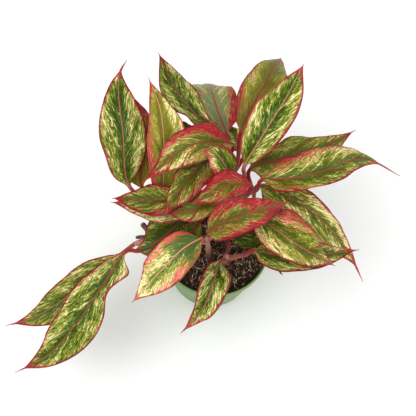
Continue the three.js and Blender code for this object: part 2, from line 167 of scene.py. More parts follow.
class Wire:
    """An output socket in a node tree. Sums on it are Python expressions, which add the nodes they need."""

    def __init__(self, tree, socket=None):
        self.tree = tree
        self.socket = socket

    def node(self, kind, sockets=None, out=0, **settings):
        """Any node: its settings first, then the values or links of its sockets, by name or number."""
        made = self.tree.nodes.new(kind)
        for name, value in settings.items():
            setattr(made, name, value)
        shown = [socket for socket in made.inputs if socket.enabled]
        for key, value in (sockets or {}).items():
            socket = shown[key] if isinstance(key, int) else next(s for s in shown if s.name == key)
            if isinstance(value, Wire):
                self.tree.links.new(value.socket, socket)
            else:
                socket.default_value = value
        return Wire(self.tree, [socket for socket in made.outputs if socket.enabled][out])

    def other(self, name):
        """Another output of the same node."""
        outputs = self.socket.node.outputs
        return Wire(self.tree, next(socket for socket in outputs if socket.enabled and socket.name == name))

    def sum(self, operation, *values):
        """A Math node, or a Vector Math node where a value is a vector."""
        return calculate(operation, self, *values)

    def ease(self, low, high):
        """0 up to low, 1 from high, and smooth between them."""
        ends = {"Value": self, "From Min": low, "From Max": high}
        return self.node("ShaderNodeMapRange", ends, interpolation_type="SMOOTHSTEP")

    def part(self, axis):
        """The X, Y or Z of a vector."""
        return self.node("ShaderNodeSeparateXYZ", {0: self}, out="XYZ".index(axis))

    def parts(self):
        """All three numbers of a vector."""
        return [self.part(axis) for axis in "XYZ"]

    def __add__(self, other):
        return calculate("ADD", self, other)

    def __radd__(self, other):
        return calculate("ADD", other, self)

    def __sub__(self, other):
        return calculate("SUBTRACT", self, other)

    def __rsub__(self, other):
        return calculate("SUBTRACT", other, self)

    def __mul__(self, other):
        return calculate("MULTIPLY", self, other)

    def __rmul__(self, other):
        return calculate("MULTIPLY", other, self)

    def __truediv__(self, other):
        return calculate("DIVIDE", self, other)

    def __rtruediv__(self, other):
        return calculate("DIVIDE", other, self)

    def __pow__(self, other):
        return calculate("POWER", self, other)

    def __neg__(self):
        return calculate("MULTIPLY", self, -1)


def calculate(operation, *values):
    """The node of one sum on wires and numbers."""
    wires = [value for value in values if isinstance(value, Wire)]
    vector = any(wire.socket.type == "VECTOR" for wire in wires)
    if vector:
        values = [(value,) * 3 if isinstance(value, (int, float)) else value for value in values]
    kind = "ShaderNodeVectorMath" if vector else "ShaderNodeMath"
    return wires[0].node(kind, dict(enumerate(values)), operation=operation)


def blend(factor, first, second, data_type="RGBA", blend_type="MIX"):
    """first where the factor is 0, second where it is 1."""
    sockets = {"Factor": factor, "A": first, "B": second}
    settings = {"data_type": data_type}
    if data_type == "RGBA":
        settings["blend_type"] = blend_type
    wire = next(value for value in sockets.values() if isinstance(value, Wire))
    return wire.node("ShaderNodeMix", sockets, **settings)


def colour(red, green, blue):
    """A colour from the 0 to 255 values that a screen shows."""
    return tuple((channel / 255) ** 2.2 for channel in (red, green, blue)) + (1.0,)


class Finish:
    """A material of one principled shader, whose own sockets hold what is the same all over."""

    def __init__(self, name, roughness, specular=0.5):
        self.material = bpy.data.materials.new(name)
        self.material.use_nodes = True
        self.tree = self.material.node_tree
        self.shader = self.tree.nodes["Principled BSDF"]
        self.shader.inputs["Roughness"].default_value = roughness
        self.shader.inputs["Specular IOR Level"].default_value = specular
        self.start = Wire(self.tree)

    def object_place(self):
        """Where a point is in the object's own frame, in metres."""
        return self.start.node("ShaderNodeTexCoord", out=3)

    def attribute(self, name):
        """A vector that the piece's mesh carries."""
        return self.start.node("ShaderNodeAttribute", out=1, attribute_name=name)

    def noise(self, vector, scale, detail=2.0, roughness=0.5):
        sockets = {"Vector": vector, "Scale": scale, "Detail": detail, "Roughness": roughness}
        return self.start.node("ShaderNodeTexNoise", sockets)

    def paint(self, **links):
        """Links wires to the shader's sockets, each by its name with underscores."""
        for socket, wire in links.items():
            self.tree.links.new(wire.socket, self.shader.inputs[socket.replace("_", " ")])

    def emboss(self, height, strength, distance):
        sockets = {"Height": height, "Strength": strength, "Distance": distance}
        bump = self.start.node("ShaderNodeBump", sockets)
        self.tree.links.new(bump.socket, self.shader.inputs["Normal"])


def place_piece(piece, slot, *nodes):
    """Fixes a finished piece to the one body. It stands for the CAD nodes that are named."""
    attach(piece, "root")
    if nodes:
        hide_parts(*nodes)


def start_recipe(name, inputs):
    """A new geometry tree with named inputs, given by name and kind, and the wires of those inputs."""
    tree = bpy.data.node_groups.new(name, "GeometryNodeTree")
    for label, kind in inputs.items():
        tree.interface.new_socket(label, in_out="INPUT", socket_type="NodeSocket" + kind)
    tree.interface.new_socket("Geometry", in_out="OUTPUT", socket_type="NodeSocketGeometry")
    entry = tree.nodes.new("NodeGroupInput")
    return Wire(tree), {label: Wire(tree, entry.outputs[label]) for label in inputs}


def end_recipe(geometry, material):
    """Realizes the instances, sets the material and ends the tree."""
    whole = geometry.node("GeometryNodeRealizeInstances", {0: geometry})
    painted = whole.node("GeometryNodeSetMaterial", {"Geometry": whole, "Material": material})
    leave = geometry.tree.nodes.new("NodeGroupOutput")
    geometry.tree.links.new(painted.socket, leave.inputs["Geometry"])
    return geometry.tree


def cook(name, mesh, tree, **values):
    """Runs a geometry tree on a mesh and keeps the result as the plain mesh of a new object."""
    piece = bpy.data.objects.new(name, mesh)
    scene.collection.objects.link(piece)
    modifier = piece.modifiers.new("recipe", "NODES")
    modifier.node_group = tree
    inputs = {item.name: item for item in tree.interface.items_tree if item.in_out == "INPUT"}
    for label, value in values.items():
        item = inputs[label.replace("_", " ").title()]
        modifier[item.identifier] = float(value) if item.socket_type == "NodeSocketFloat" else value
    graph = bpy.context.evaluated_depsgraph_get()
    result = bpy.data.meshes.new_from_object(
        piece.evaluated_get(graph), preserve_all_data_layers=True, depsgraph=graph
    )
    piece.modifiers.remove(modifier)
    piece.data = result
    result.name = name
    return piece


def rounded(corners):
    """A profile through corners given as (radius, height, round), each rounded by an arc-like bend."""
    points = []
    for i, (radius, height, size) in enumerate(corners):
        corner = Vector((radius, height))
        if size == 0:
            points.append(corner)
            continue
        before = Vector(corners[i - 1][:2])
        after = Vector(corners[i + 1][:2])
        enter = corner + (before - corner).normalized() * size
        leave = corner + (after - corner).normalized() * size
        for k in range(BEND_STEPS + 1):
            t = k / BEND_STEPS
            points.append(enter * (1 - t) ** 2 + corner * 2 * t * (1 - t) + leave * t * t)
    return points


def lathe(name, profile, sides):
    """A closed body turned round Z from a profile that starts and ends on the axis."""
    turns = [2 * math.pi * k / sides for k in range(sides)]
    ring_points = profile[1:-1]
    points = [(0, 0, profile[0][1])]
    for radius, height in ring_points:
        points += [(radius * math.cos(turn), radius * math.sin(turn), height) for turn in turns]
    points.append((0, 0, profile[-1][1]))
    last = len(points) - 1
    faces = []
    for k in range(sides):
        following = (k + 1) % sides
        faces.append((0, 1 + following, 1 + k))
        for row in range(len(ring_points) - 1):
            low = 1 + row * sides
            faces.append((low + k, low + following, low + sides + following, low + sides + k))
        top = 1 + (len(ring_points) - 1) * sides
        faces.append((last, top + k, top + following))
    mesh = bpy.data.meshes.new(name)
    mesh.from_pydata(points, [], faces)
    mesh.shade_smooth()
    return mesh


under_collar = POT_HEIGHT - COLLAR_HEIGHT
wall_top = RIM_RADIUS - COLLAR_STEP


def wall_radius(height):
    """The outer radius of the tapered body at a height, which is a number or a wire."""
    return FOOT_RADIUS + (wall_top - FOOT_RADIUS) * height / under_collar


pot_profile = rounded([
    (0, 0, 0),
    (FOOT_RADIUS, 0, EDGE_ROUND),
    (wall_radius(under_collar), under_collar, EDGE_ROUND / 2),
    (RIM_RADIUS - LIP_ROUND, under_collar + LIP_ROUND / 2, EDGE_ROUND / 2),
    (RIM_RADIUS, POT_HEIGHT, LIP_ROUND),
    (RIM_RADIUS - POT_WALL, POT_HEIGHT, LIP_ROUND),
    (RIM_RADIUS - POT_WALL, under_collar + COLLAR_STEP, EDGE_ROUND),
    (wall_radius(under_collar) - POT_WALL, under_collar - POT_WALL, EDGE_ROUND),
    (wall_radius(FLOOR_THICKNESS) - POT_WALL, FLOOR_THICKNESS, EDGE_ROUND),
    (0, FLOOR_THICKNESS, 0),
])

start, wires = start_recipe("drain_holes", {
    "Pot": "Geometry", "Count": "Int", "Ring": "Float", "Radius": "Float", "Material": "Material",
})
spots = start.node("GeometryNodeMeshCircle", {"Vertices": wires["Count"], "Radius": wires["Ring"]})
half_step = start.node("ShaderNodeCombineXYZ", {"Z": math.pi / wires["Count"]})
spots = start.node("GeometryNodeTransform", {"Geometry": spots, "Rotation": half_step})
punch = start.node("GeometryNodeMeshCylinder", {
    "Vertices": PUNCH_SIDES, "Radius": wires["Radius"], "Depth": PUNCH_LENGTH,
})
punches = start.node("GeometryNodeInstanceOnPoints", {"Points": spots, "Instance": punch})
punches = start.node("GeometryNodeRealizeInstances", {0: punches})
drained = start.node("GeometryNodeMeshBoolean", {
    "Mesh 1": wires["Pot"], "Mesh 2": punches,
}, operation="DIFFERENCE")
drain_tree = end_recipe(drained, wires["Material"])

SAGE = colour(104, 136, 76)
SAGE_LIGHT = colour(126, 154, 96)
SAGE_DEEP = colour(76, 110, 58)
SOIL_DUST = colour(96, 84, 66)

sage_plastic = Finish("sage_plastic", roughness=0.42, specular=0.25)
place = sage_plastic.object_place()
cloudy = sage_plastic.noise(place, 22, 4)
grain = sage_plastic.noise(place, 900, 2)
height = place.part("Z")
outward = (place * (1, 1, 0)).sum("LENGTH")
plastic = blend(cloudy.ease(0.35, 0.65), SAGE, SAGE_LIGHT)
# Painted highlight: a lighter band along the top of the lip, where it faces the light.
at_lip = height.ease(POT_HEIGHT - LIP_BAND, POT_HEIGHT)
plastic = blend(at_lip * 0.5, plastic, SAGE_LIGHT)

# The inner face is painted darker, as painted shade inside the pot. Splashes of the mix cling to the inner
# face alone, and stop short of the rim.
inner_wall = wall_radius(height).sum("MINIMUM", wall_top) - POT_WALL
inner_wall = inner_wall + COLLAR_STEP * height.ease(under_collar, under_collar + COLLAR_STEP)
inside = (outward - inner_wall).ease(CLEAN_DEPTH, SOILED_DEPTH) * height.ease(0.0, FLOOR_THICKNESS * 2)
inside_low = inside * height.ease(POT_HEIGHT, POT_HEIGHT - CLEAN_RIM)
# Painted shade: the whole inner face is made darker than the outside.
plastic = blend(inside * 0.55, plastic, SAGE_DEEP)
smudges = sage_plastic.noise(place * (1, 1, 0.5), 60, 5, 0.65)
plastic = blend(inside_low * smudges.ease(0.35, 0.6), plastic, SOIL_DUST)
scuffs = sage_plastic.noise(place * (1, 1, 6), 45, 4, 0.7).ease(0.6, 0.8)
plastic = blend(scuffs * 0.25, plastic, SAGE_DEEP)
sage_plastic.paint(Base_Color=plastic, Roughness=0.36 + 0.18 * cloudy + 0.15 * scuffs)
sage_plastic.emboss(grain * 0.5 + scuffs * 0.5, 0.2, 0.0002)

pot = cook(
    "nursery_pot", lathe("pot_turned", pot_profile, POT_SIDES), drain_tree,
    count=DRAIN_COUNT, ring=DRAIN_RING_RADIUS, radius=DRAIN_RADIUS, material=sage_plastic.material,
)
place_piece(pot, "pot_plastic", "pot")

# ---- Potting mix ----
# Dark moist peat with bark crumbs, pale coir fibres and a few white grains of perlite. It fills the
# pot to a little below the rim, and its loose top is uneven.

SOIL_EDGE_HEIGHT = 0.114
SOIL_DOME = 0.006
SOIL_ROUGHNESS = 0.0016
SOIL_SIDES = 220
SOIL_GAP = 0.0006
SOIL_RINGS = 64
SOIL_SIDE_HEIGHT = 0.109
SOIL_LUMPS = ((0.0012, 0.033, 0.039), (0.0007, 0.057, 0.027))
SOIL_GRAIN = 260
SOIL_FRACTAL = (0.8, 2.1, 4)
EDGE_FADE = 0.0005
CRUMB_TILT = 0.4
CRUMB_FACETS = 2


def soil_height(x, y):
    """The smooth top, with its lumps: how high each set of waves is, and how far apart along X and Y."""
    height = SOIL_EDGE_HEIGHT + SOIL_DOME * (1 - (x * x + y * y) / RIM_RADIUS ** 2)
    for lump, along_x, along_y in SOIL_LUMPS:
        height += lump * math.sin(2 * math.pi * x / along_x) * math.cos(2 * math.pi * y / along_y)
    return height


def soil_mesh():
    """The body of the mix: a turned block whose top rings are brought down to the rough surface."""
    edge = wall_radius(SOIL_SIDE_HEIGHT) - POT_WALL - SOIL_GAP
    bottom = FLOOR_THICKNESS + SOIL_GAP / 2
    profile = [(0, bottom), (wall_radius(bottom) - POT_WALL - SOIL_GAP, bottom), (edge, SOIL_SIDE_HEIGHT)]
    profile += [(edge * (1 - k / SOIL_RINGS), POT_HEIGHT) for k in range(SOIL_RINGS + 1)]
    mesh = lathe("mix", profile, SOIL_SIDES)
    for vertex in mesh.vertices:
        if vertex.co.z > SOIL_SIDE_HEIGHT + SOIL_GAP:
            x, y = vertex.co.xy
            rough = noise.fractal(Vector((x, y, 0)) * SOIL_GRAIN, *SOIL_FRACTAL)
            vertex.co.z = soil_height(x, y) - SOIL_ROUGHNESS + SOIL_ROUGHNESS * rough
    return mesh


PEAT_DARK = colour(20, 14, 11)
PEAT_BROWN = colour(78, 57, 45)
BARK_BROWN = colour(186, 142, 112)
COIR = colour(248, 222, 188)
PERLITE = colour(222, 214, 204)

peat = Finish("peat", roughness=0.95)
place = peat.object_place()
clumps = peat.noise(place, 180, 6, 0.7)
specks = peat.noise(place, 900, 3, 0.6)
peat_colour = blend(clumps.ease(0.4, 0.62), PEAT_DARK, PEAT_BROWN)
peat_colour = blend(specks.ease(0.58, 0.7) * 0.5, peat_colour, BARK_BROWN)
peat.paint(Base_Color=peat_colour)
peat.emboss(clumps + specks * 0.6, 0.9, 0.0015)

mix_body = soil_mesh()
mix_body.materials.append(peat.material)
mix = bpy.data.objects.new("potting_mix", mix_body)
scene.collection.objects.link(mix)
place_piece(mix, "potting_soil", "soil")

# The loose pieces lie on the top face: the tree scatters them there, each turned at random.
start, wires = start_recipe("scatter", {
    "Mix": "Geometry", "Spacing": "Float", "Density": "Float", "Size": "Float", "Spread": "Float",
    "Stretch": "Vector", "Seed": "Int", "Curl": "Float", "Edge": "Float", "Material": "Material",
})
where = start.node("GeometryNodeInputPosition")
facing = start.node("GeometryNodeInputNormal")
within_edge = (where * (1, 1, 0)).sum("LENGTH").ease(wires["Edge"] + EDGE_FADE, wires["Edge"])
is_top = facing.part("Z").ease(0.2, 0.3) * within_edge
on_top = start.node("FunctionNodeCompare", {0: is_top, 1: 0.5}, operation="GREATER_THAN")
spots = start.node("GeometryNodeDistributePointsOnFaces", {
    "Mesh": wires["Mix"], "Selection": on_top, "Distance Min": wires["Spacing"],
    "Density Max": wires["Density"], "Seed": wires["Seed"],
}, distribute_method="POISSON")
crumb = start.node("GeometryNodeMeshIcoSphere", {"Radius": wires["Size"], "Subdivisions": CRUMB_FACETS})
crumb_place = start.node("GeometryNodeInputPosition")
lumpy = start.node("ShaderNodeTexNoise", {"Vector": crumb_place / wires["Size"], "Scale": 1.3, "Detail": 1.0})
shrink = 0.55 + 0.9 * lumpy
bent = crumb_place * shrink * wires["Stretch"]
along_crumb = bent.part("X") / wires["Size"]
bend = start.node("ShaderNodeCombineXYZ", {"Y": along_crumb * along_crumb * wires["Curl"] * wires["Size"]})
crumb = start.node("GeometryNodeSetPosition", {"Geometry": crumb, "Position": bent + bend})
lower, upper = 1 - wires["Spread"], 1 + wires["Spread"]
sizes = start.node("FunctionNodeRandomValue", {"Min": lower, "Max": upper, "Seed": wires["Seed"] + 1})
turns = start.node("FunctionNodeRandomValue", {
    "Min": (-CRUMB_TILT, -CRUMB_TILT, 0), "Max": (CRUMB_TILT, CRUMB_TILT, 2 * math.pi),
    "Seed": wires["Seed"] + 2,
}, data_type="FLOAT_VECTOR")
crumbs = start.node("GeometryNodeInstanceOnPoints", {
    "Points": spots, "Instance": crumb, "Rotation": turns, "Scale": sizes,
})
scatter_tree = end_recipe(crumbs, wires["Material"])

bark = Finish("bark_crumbs", roughness=0.9)
place = bark.object_place()
tone = bark.noise(place, 240, 2)
bark_colour = blend(tone.ease(0.35, 0.6), PEAT_DARK, PEAT_BROWN)
bark_colour = blend(tone.ease(0.56, 0.66), bark_colour, BARK_BROWN)
bark.paint(Base_Color=bark_colour)
bark.emboss(bark.noise(place, 1500, 3), 0.6, 0.0006)

coir = Finish("coir_fibre", roughness=0.85)
coir.paint(Base_Color=blend(coir.noise(coir.object_place(), 150, 2).ease(0.4, 0.6), BARK_BROWN, COIR))

perlite = Finish("perlite", roughness=0.8)
perlite.paint(Base_Color=blend(perlite.noise(perlite.object_place(), 500, 3), COIR, PERLITE))

LOOSE_PIECES = {
    "bark_crumbs": dict(
        material=bark.material, spacing=0.0024, density=90000, size=0.0019, spread=0.6,
        stretch=(1.2, 0.9, 0.7), seed=3, curl=0.0, edge=0.069),
    "coir_fibres": dict(
        material=coir.material, spacing=0.0038, density=20000, size=0.0055, spread=0.6,
        stretch=(1.5, 0.075, 0.06), seed=8, curl=0.35, edge=0.064),
    "perlite_grains": dict(
        material=perlite.material, spacing=0.012, density=1500, size=0.0016, spread=0.5,
        stretch=(1.0, 0.85, 0.8), seed=12, curl=0.0, edge=0.068),
}
for name, values in LOOSE_PIECES.items():
    loose = cook(name, mix_body, scatter_tree, **values)
    loose.data.shade_smooth()
    place_piece(loose, "potting_soil")

# ---- Canes ----
# Six smooth, fleshy canes, rooted in the mix. Each is ringed by the scars of shed leaves, pinkish to
# green-brown, and the trailing one still carries a cut side shoot and an old leafstalk.

PLANTING_DEPTH = 0.052
UPRIGHT_BELOW = 0.014
UPRIGHT_ABOVE = 0.003
CANE_TAPER = 0.72
CANE_SIDES = 28
CANE_ROWS = 150
SCAR_SPACING = 0.0085
SCAR_SHIFT = 1.6
SCAR_SHARPNESS = 7
SCAR_HEIGHT = 0.00035
BULGE = 0.06
HOLE_FLOOR_GAP = 0.0003
END_RUN = 0.6
FIRST_STUB_SEED = 20

# plant: where the cane comes out of the mix. path: the points above it that the cane goes through.
CANES = {
    "crown": dict(
        plant=(0.020, 0.026), radius=0.0065, path=[(0.023, 0.033, 0.170), (0.027, 0.040, 0.236)]),
    "back": dict(
        plant=(-0.002, 0.044), radius=0.0065, path=[(-0.001, 0.054, 0.165), (0.000, 0.064, 0.218)]),
    "left": dict(
        plant=(-0.032, 0.016), radius=0.006, path=[(-0.033, 0.017, 0.145), (-0.035, 0.019, 0.172)]),
    "front": dict(
        plant=(-0.006, -0.022), radius=0.0038, path=[(-0.008, -0.024, 0.170), (-0.012, -0.028, 0.222)]),
    "right": dict(
        plant=(0.016, -0.026), radius=0.005, path=[(0.017, -0.026, 0.140), (0.019, -0.026, 0.152)]),
    "trailing": dict(
        plant=(-0.046, -0.016), radius=0.005, path=[
            (-0.050, -0.017, 0.142), (-0.066, -0.019, 0.164), (-0.088, -0.024, 0.175),
            (-0.102, -0.034, 0.178)]),
}
STUBS = {
    "cut_shoot": dict(
        radius=0.0036, path=[(-0.085, -0.021, 0.174), (-0.091, -0.014, 0.180), (-0.098, -0.008, 0.183)]),
    "old_leafstalk": dict(
        radius=0.0022, path=[(-0.086, -0.023, 0.177), (-0.095, -0.025, 0.183), (-0.103, -0.028, 0.185)]),
}


class Line:
    """A smooth line through points. A share of it goes by length, from 0 at its start to 1 at its end."""

    STEPS = 60
    NEAR = 0.002

    def __init__(self, points):
        points = [Vector(point) for point in points]
        ends = [2 * points[0] - points[1], *points, 2 * points[-1] - points[-2]]
        fine = []
        for k in range(len(points) - 1):
            fine += [self.between(ends[k:k + 4], step / self.STEPS) for step in range(self.STEPS)]
        self.points = np.array([*fine, points[-1]])
        steps = np.linalg.norm(np.diff(self.points, axis=0), axis=1)
        self.lengths = np.concatenate([[0], np.cumsum(steps)])
        self.length = self.lengths[-1]

    @staticmethod
    def between(four, t):
        """The place at the share t from the second point to the third, on a centripetal spline."""
        knots = [0.0]
        for first, second in zip(four, four[1:]):
            knots.append(knots[-1] + math.sqrt(max((second - first).length, 1e-9)))
        at = knots[1] + t * (knots[2] - knots[1])

        def towards(first, second, low, high):
            return first + (second - first) * ((at - knots[low]) / (knots[high] - knots[low]))

        outer = [towards(four[i], four[i + 1], i, i + 1) for i in range(3)]
        inner = [towards(outer[i], outer[i + 1], i, i + 2) for i in range(2)]
        return towards(inner[0], inner[1], 1, 2)

    def at(self, share):
        return Vector([np.interp(share * self.length, self.lengths, self.points[:, k]) for k in range(3)])

    def heading(self, share):
        return (self.at(min(1, share + self.NEAR)) - self.at(max(0, share - self.NEAR))).normalized()


def path_mesh(name, places, sides):
    """A row of points that carries, at each, the direction of the piece's right-hand side."""
    mesh = bpy.data.meshes.new(name)
    mesh.from_pydata(places, [(k, k + 1) for k in range(len(places) - 1)], [])
    side = mesh.attributes.new("side", "FLOAT_VECTOR", "POINT")
    side.data.foreach_set("vector", np.array(sides, dtype=np.float32).ravel())
    return mesh


def across(heading, direction):
    """The part of a direction that is square to a heading."""
    return (direction - heading * direction.dot(heading)).normalized()


def along_path(start, path, share):
    """The place at a share of the path, and the directions forward, to the right and up there."""
    carried = start.node("GeometryNodeInputNamedAttribute", {"Name": "side"}, data_type="FLOAT_VECTOR")
    line = start.node("GeometryNodeMeshToCurve", {"Mesh": path})
    found = start.node("GeometryNodeSampleCurve", {"Curves": line, "Value": carried, "Factor": share},
                       data_type="FLOAT_VECTOR", mode="FACTOR")
    forward = found.other("Tangent")
    right = (found - forward * found.sum("DOT_PRODUCT", forward)).sum("NORMALIZE")
    return found.other("Position"), forward, right, right.sum("CROSS_PRODUCT", forward)


def start_tube(start, sides, rows):
    """An upright tube of one unit, closed at both ends, and where each point is: x, y and the share up."""
    tube = start.node("GeometryNodeMeshCylinder", {
        "Vertices": sides, "Side Segments": rows, "Radius": 1.0, "Depth": 1.0,
    }, fill_type="TRIANGLE_FAN")
    spot = start.node("GeometryNodeInputPosition")
    return tube, spot.part("X"), spot.part("Y"), spot.part("Z") + 0.5


def keep(geometry, name, vector):
    """Stores a vector on the points, for the materials, worked out before they are moved."""
    sockets = {"Geometry": geometry, "Name": name, "Value": vector}
    return geometry.node("GeometryNodeStoreNamedAttribute", sockets, data_type="FLOAT_VECTOR", domain="POINT")


def triple(start, x, y, z):
    """A vector of three wires or numbers."""
    return start.node("ShaderNodeCombineXYZ", {"X": x, "Y": y, "Z": z})


start, wires = start_recipe("cane", {
    "Path": "Geometry", "Radius": "Float", "Taper": "Float", "Length": "Float", "Scar Spacing": "Float",
    "Scar Height": "Float", "Seed": "Float", "Material": "Material",
})
tube, x, y, share = start_tube(start, CANE_SIDES, CANE_ROWS)
centre, forward, right, up = along_path(start, wires["Path"], share)

# The scars lie unevenly spaced along the cane, whose end closes in a blunt round.
run = share * wires["Length"]
uneven = start.node("ShaderNodeTexNoise", {"Vector": triple(start, run * 60, wires["Seed"], 0)})
scar_place = (run / wires["Scar Spacing"] + uneven * SCAR_SHIFT).sum("FRACT") - 0.5
scar = (-(scar_place * SCAR_SHARPNESS) ** 2).sum("EXPONENT")
bulge = start.node("ShaderNodeTexNoise", {"Vector": triple(start, x, y, run * 90 + wires["Seed"])})
from_end = (1 - share) * wires["Length"] / wires["Radius"]
closing = (1 - (1 - from_end.sum("MINIMUM", 1)) ** 2).sum("SQRT")
radius = wires["Radius"] * (1 + (wires["Taper"] - 1) * share * share) * closing
radius = radius * (1 - BULGE / 2 + BULGE * bulge) + wires["Scar Height"] * scar
place = centre + up * (y * radius) - right * (x * radius)
cane_shape = keep(tube, "cane", triple(start, share, run, scar))
cane_shape = cane_shape.node("GeometryNodeSetPosition", {"Geometry": cane_shape, "Position": place})
cane_shape = cane_shape.node("GeometryNodeSetShadeSmooth", {"Geometry": cane_shape})
cane_tree = end_recipe(cane_shape, wires["Material"])


def cane_line(plant, path):
    """The middle of a cane, from its buried end, straight up through the mix, and along its path."""
    x, y = plant
    surface = soil_height(x, y)
    rooted = [surface - PLANTING_DEPTH + HOLE_FLOOR_GAP, surface - UPRIGHT_BELOW, surface + UPRIGHT_ABOVE]
    return Line([*((x, y, height) for height in rooted), *path])


def cook_round(name, line, radius, taper, seed, material):
    """A round stem on a line, run on a little so that its blunt end closes past the line's."""
    shares = [k / CANE_ROWS for k in range(CANE_ROWS + 1)]
    places = [line.at(share) for share in shares]
    places.append(places[-1] + line.heading(1) * END_RUN * radius)
    side, sides = Vector((1, 0, 0)), []
    for share in [*shares, 1]:
        side = across(line.heading(share), side)
        sides.append(side)
    return cook(
        name, path_mesh(name + "_path", places, sides), cane_tree,
        radius=radius, taper=taper, length=line.length + END_RUN * radius, scar_spacing=SCAR_SPACING,
        scar_height=SCAR_HEIGHT, seed=seed, material=material,
    )


CANE_PINK = colour(196, 134, 118)
CANE_GREEN = colour(128, 128, 82)
CANE_BROWN = colour(112, 76, 60)
SCAR_TAN = colour(158, 122, 96)
CUT_BROWN = colour(64, 44, 36)


def cane_finish(name, old, young):
    """The skin of a cane: its older lower end, its younger upper end, and a tan ring at every scar."""
    skin = Finish(name, roughness=0.5)
    place = skin.object_place()
    cane = skin.attribute("cane")
    share = cane.part("X")
    scar = cane.part("Z")
    patches = skin.noise(place, 110, 4, 0.6)
    streaks = skin.noise(place * (1, 1, 0.2), 700, 3, 0.6)
    skin_colour = blend((share + patches * 0.5 - 0.25).ease(0.35, 0.85), old, young)
    skin_colour = blend(streaks.ease(0.45, 0.7) * 0.45, skin_colour, CANE_BROWN)
    skin_colour = blend(scar * 0.65, skin_colour, SCAR_TAN)
    skin_colour = blend(scar.ease(0.3, 0.5) * scar.ease(0.9, 0.6) * 0.5, skin_colour, CANE_BROWN)
    skin.paint(Base_Color=skin_colour, Roughness=0.42 + 0.3 * patches)
    skin.emboss(streaks + scar, 0.4, 0.0004)
    return skin.material


cane_skin = cane_finish("cane_skin", CANE_BROWN, CANE_PINK)
green_cane_skin = cane_finish("green_cane_skin", CANE_BROWN, CANE_GREEN)
stub_skin = cane_finish("stub_skin", CANE_BROWN, CUT_BROWN)
CANE_SKINS = {"crown": green_cane_skin, "back": green_cane_skin, "left": green_cane_skin}

cane_lines = {}
for seed, (name, cane) in enumerate(CANES.items()):
    cane_lines[name] = cane_line(cane["plant"], cane["path"])
    skin = CANE_SKINS.get(name, cane_skin)
    stem = cook_round(name + "_cane", cane_lines[name], cane["radius"], CANE_TAPER, seed, skin)
    place_piece(stem, "cane", name + "_stem")
for seed, (name, stub) in enumerate(STUBS.items(), FIRST_STUB_SEED):
    place_piece(cook_round(name, Line(stub["path"]), stub["radius"], 1.0, seed, stub_skin), "cane")

# ---- Leaves ----
# Each leaf is one thin, leathery, folded blade, grown on a fleshy stalk that clasps its cane. The blade
# is green beside the midrib, mottled with cream outwards, blushed with red, and edged in crimson.

STALK_RADIUS = 0.0026
STALK_FOOT_SWELL = 1.25
STALK_REACH = 0.35
STALK_LEAN = 0.6
STALK_STRETCHES = 2
STALK_ROWS = 0.24
STALK_STANDS_OFF = 0.0003
STALK_GROOVE = 0.22
STALK_MERGE = 0.1
CLASP_DEPTH = 0.7
CLASP_SHARE = 0.12
CLASP_SWELL = 0.3
SCAR_RING = 1.06
DRIP_HALF = 0.00171
TIP_HALF = 0.00036
TIP_FROM = 0.88
FOLD_AT_FOOT = 0.15
FOLD_GROWTH = 1.2
MARGIN_CURL = 0.16
WAVE_COUNT = 2.6
PINCH_AT = 0.25
PINCH_SPAN = 0.1
EAR_AT = 0.1
EAR_SPAN = 0.06
EDGE_RIPPLE = 0.05
BLADE_HALF = 0.00032
MIDRIB_DEPTH = 0.0016
MIDRIB_GROOVE = 0.0005
MIDRIB_HALF = 0.0013
MIDRIB_CROWDING = 1.4
RUFFLE = 0.0007
RUFFLE_COUNT = 7.3
QUILT = 0.00028
VEIN_COUNT = 10
VEIN_SLANT = 0.3
VEIN_BEND = 0.8
LEAF_SIDES = 72
LEAF_ROWS = 132
PATH_POINTS = 180
LEAF_SEED_STEP = 5.0
FORMS = ("width", "belly", "taper", "drip", "wave", "phase", "uneven", "pinch", "ear")
LOOKS = ("mottle", "zones", "hue", "blush", "rib")

start, wires = start_recipe("leaf", {
    "Path": "Geometry", "Stalk": "Float", "Length": "Float", "Fold": "Float", "Seed": "Float",
    **{name.title(): "Float" for name in FORMS}, **{name.title(): "Vector" for name in LOOKS},
    "Material": "Material",
})
# One tube makes the leaf: its first rows are the stalk, and along the rest t is 0 at the foot of the
# blade and 1 at its tip.
tube, x, y, share = start_tube(start, LEAF_SIDES, LEAF_ROWS)
t = ((share - STALK_ROWS) / (1 - STALK_ROWS)).sum("MAXIMUM", 0)
down_stalk = (share / STALK_ROWS).sum("MINIMUM", 1)
place_share = wires["Stalk"] * down_stalk + (1 - wires["Stalk"]) * t
centre, forward, right, up = along_path(start, wires["Path"], place_share)

# Across the blade, s goes from -1 at the left-hand margin to 1 at the right, on both faces, and the
# points are crowded towards the midrib.
turned = y.sum("ARCTAN2", x).sum("ABSOLUTE") * (2 / math.pi) - 1
s = turned.sum("SIGN") * turned.sum("ABSOLUTE") ** MIDRIB_CROWDING
is_upper = y.sum("GREATER_THAN", 0)
from_rib = s.sum("ABSOLUTE")

# The outline: half the width at t, narrowing to a bare drip tip.
along = (t / (1 - wires["Drip"])).sum("MINIMUM", 1)
foot_power = wires["Taper"] * wires["Belly"] / (1 - wires["Belly"])
open_share = along ** foot_power * (1 - along) ** wires["Taper"]
open_share = open_share / (wires["Belly"] ** foot_power * (1 - wires["Belly"]) ** wires["Taper"])
tip_half = DRIP_HALF + (TIP_HALF - DRIP_HALF) * t.ease(TIP_FROM, 1)
half = (wires["Width"] / 2 * open_share).sum("MAXIMUM", tip_half)
pinch = (-(((t - PINCH_AT) / PINCH_SPAN) ** 2)).sum("EXPONENT") * wires["Pinch"]
ear = (-(((t - EAR_AT) / EAR_SPAN) ** 2)).sum("EXPONENT") * wires["Ear"]
left_reach = half * (1 - wires["Uneven"]) * (1 - pinch) + ear
right_reach = half * (1 + wires["Uneven"])
on_right = s.sum("GREATER_THAN", 0)
ripple = start.node("ShaderNodeTexNoise", {"Vector": triple(start, t * 14, on_right * 5, wires["Seed"])})
reach = blend(on_right, left_reach, right_reach, "FLOAT") * (1 + EDGE_RIPPLE * (ripple - 0.5))

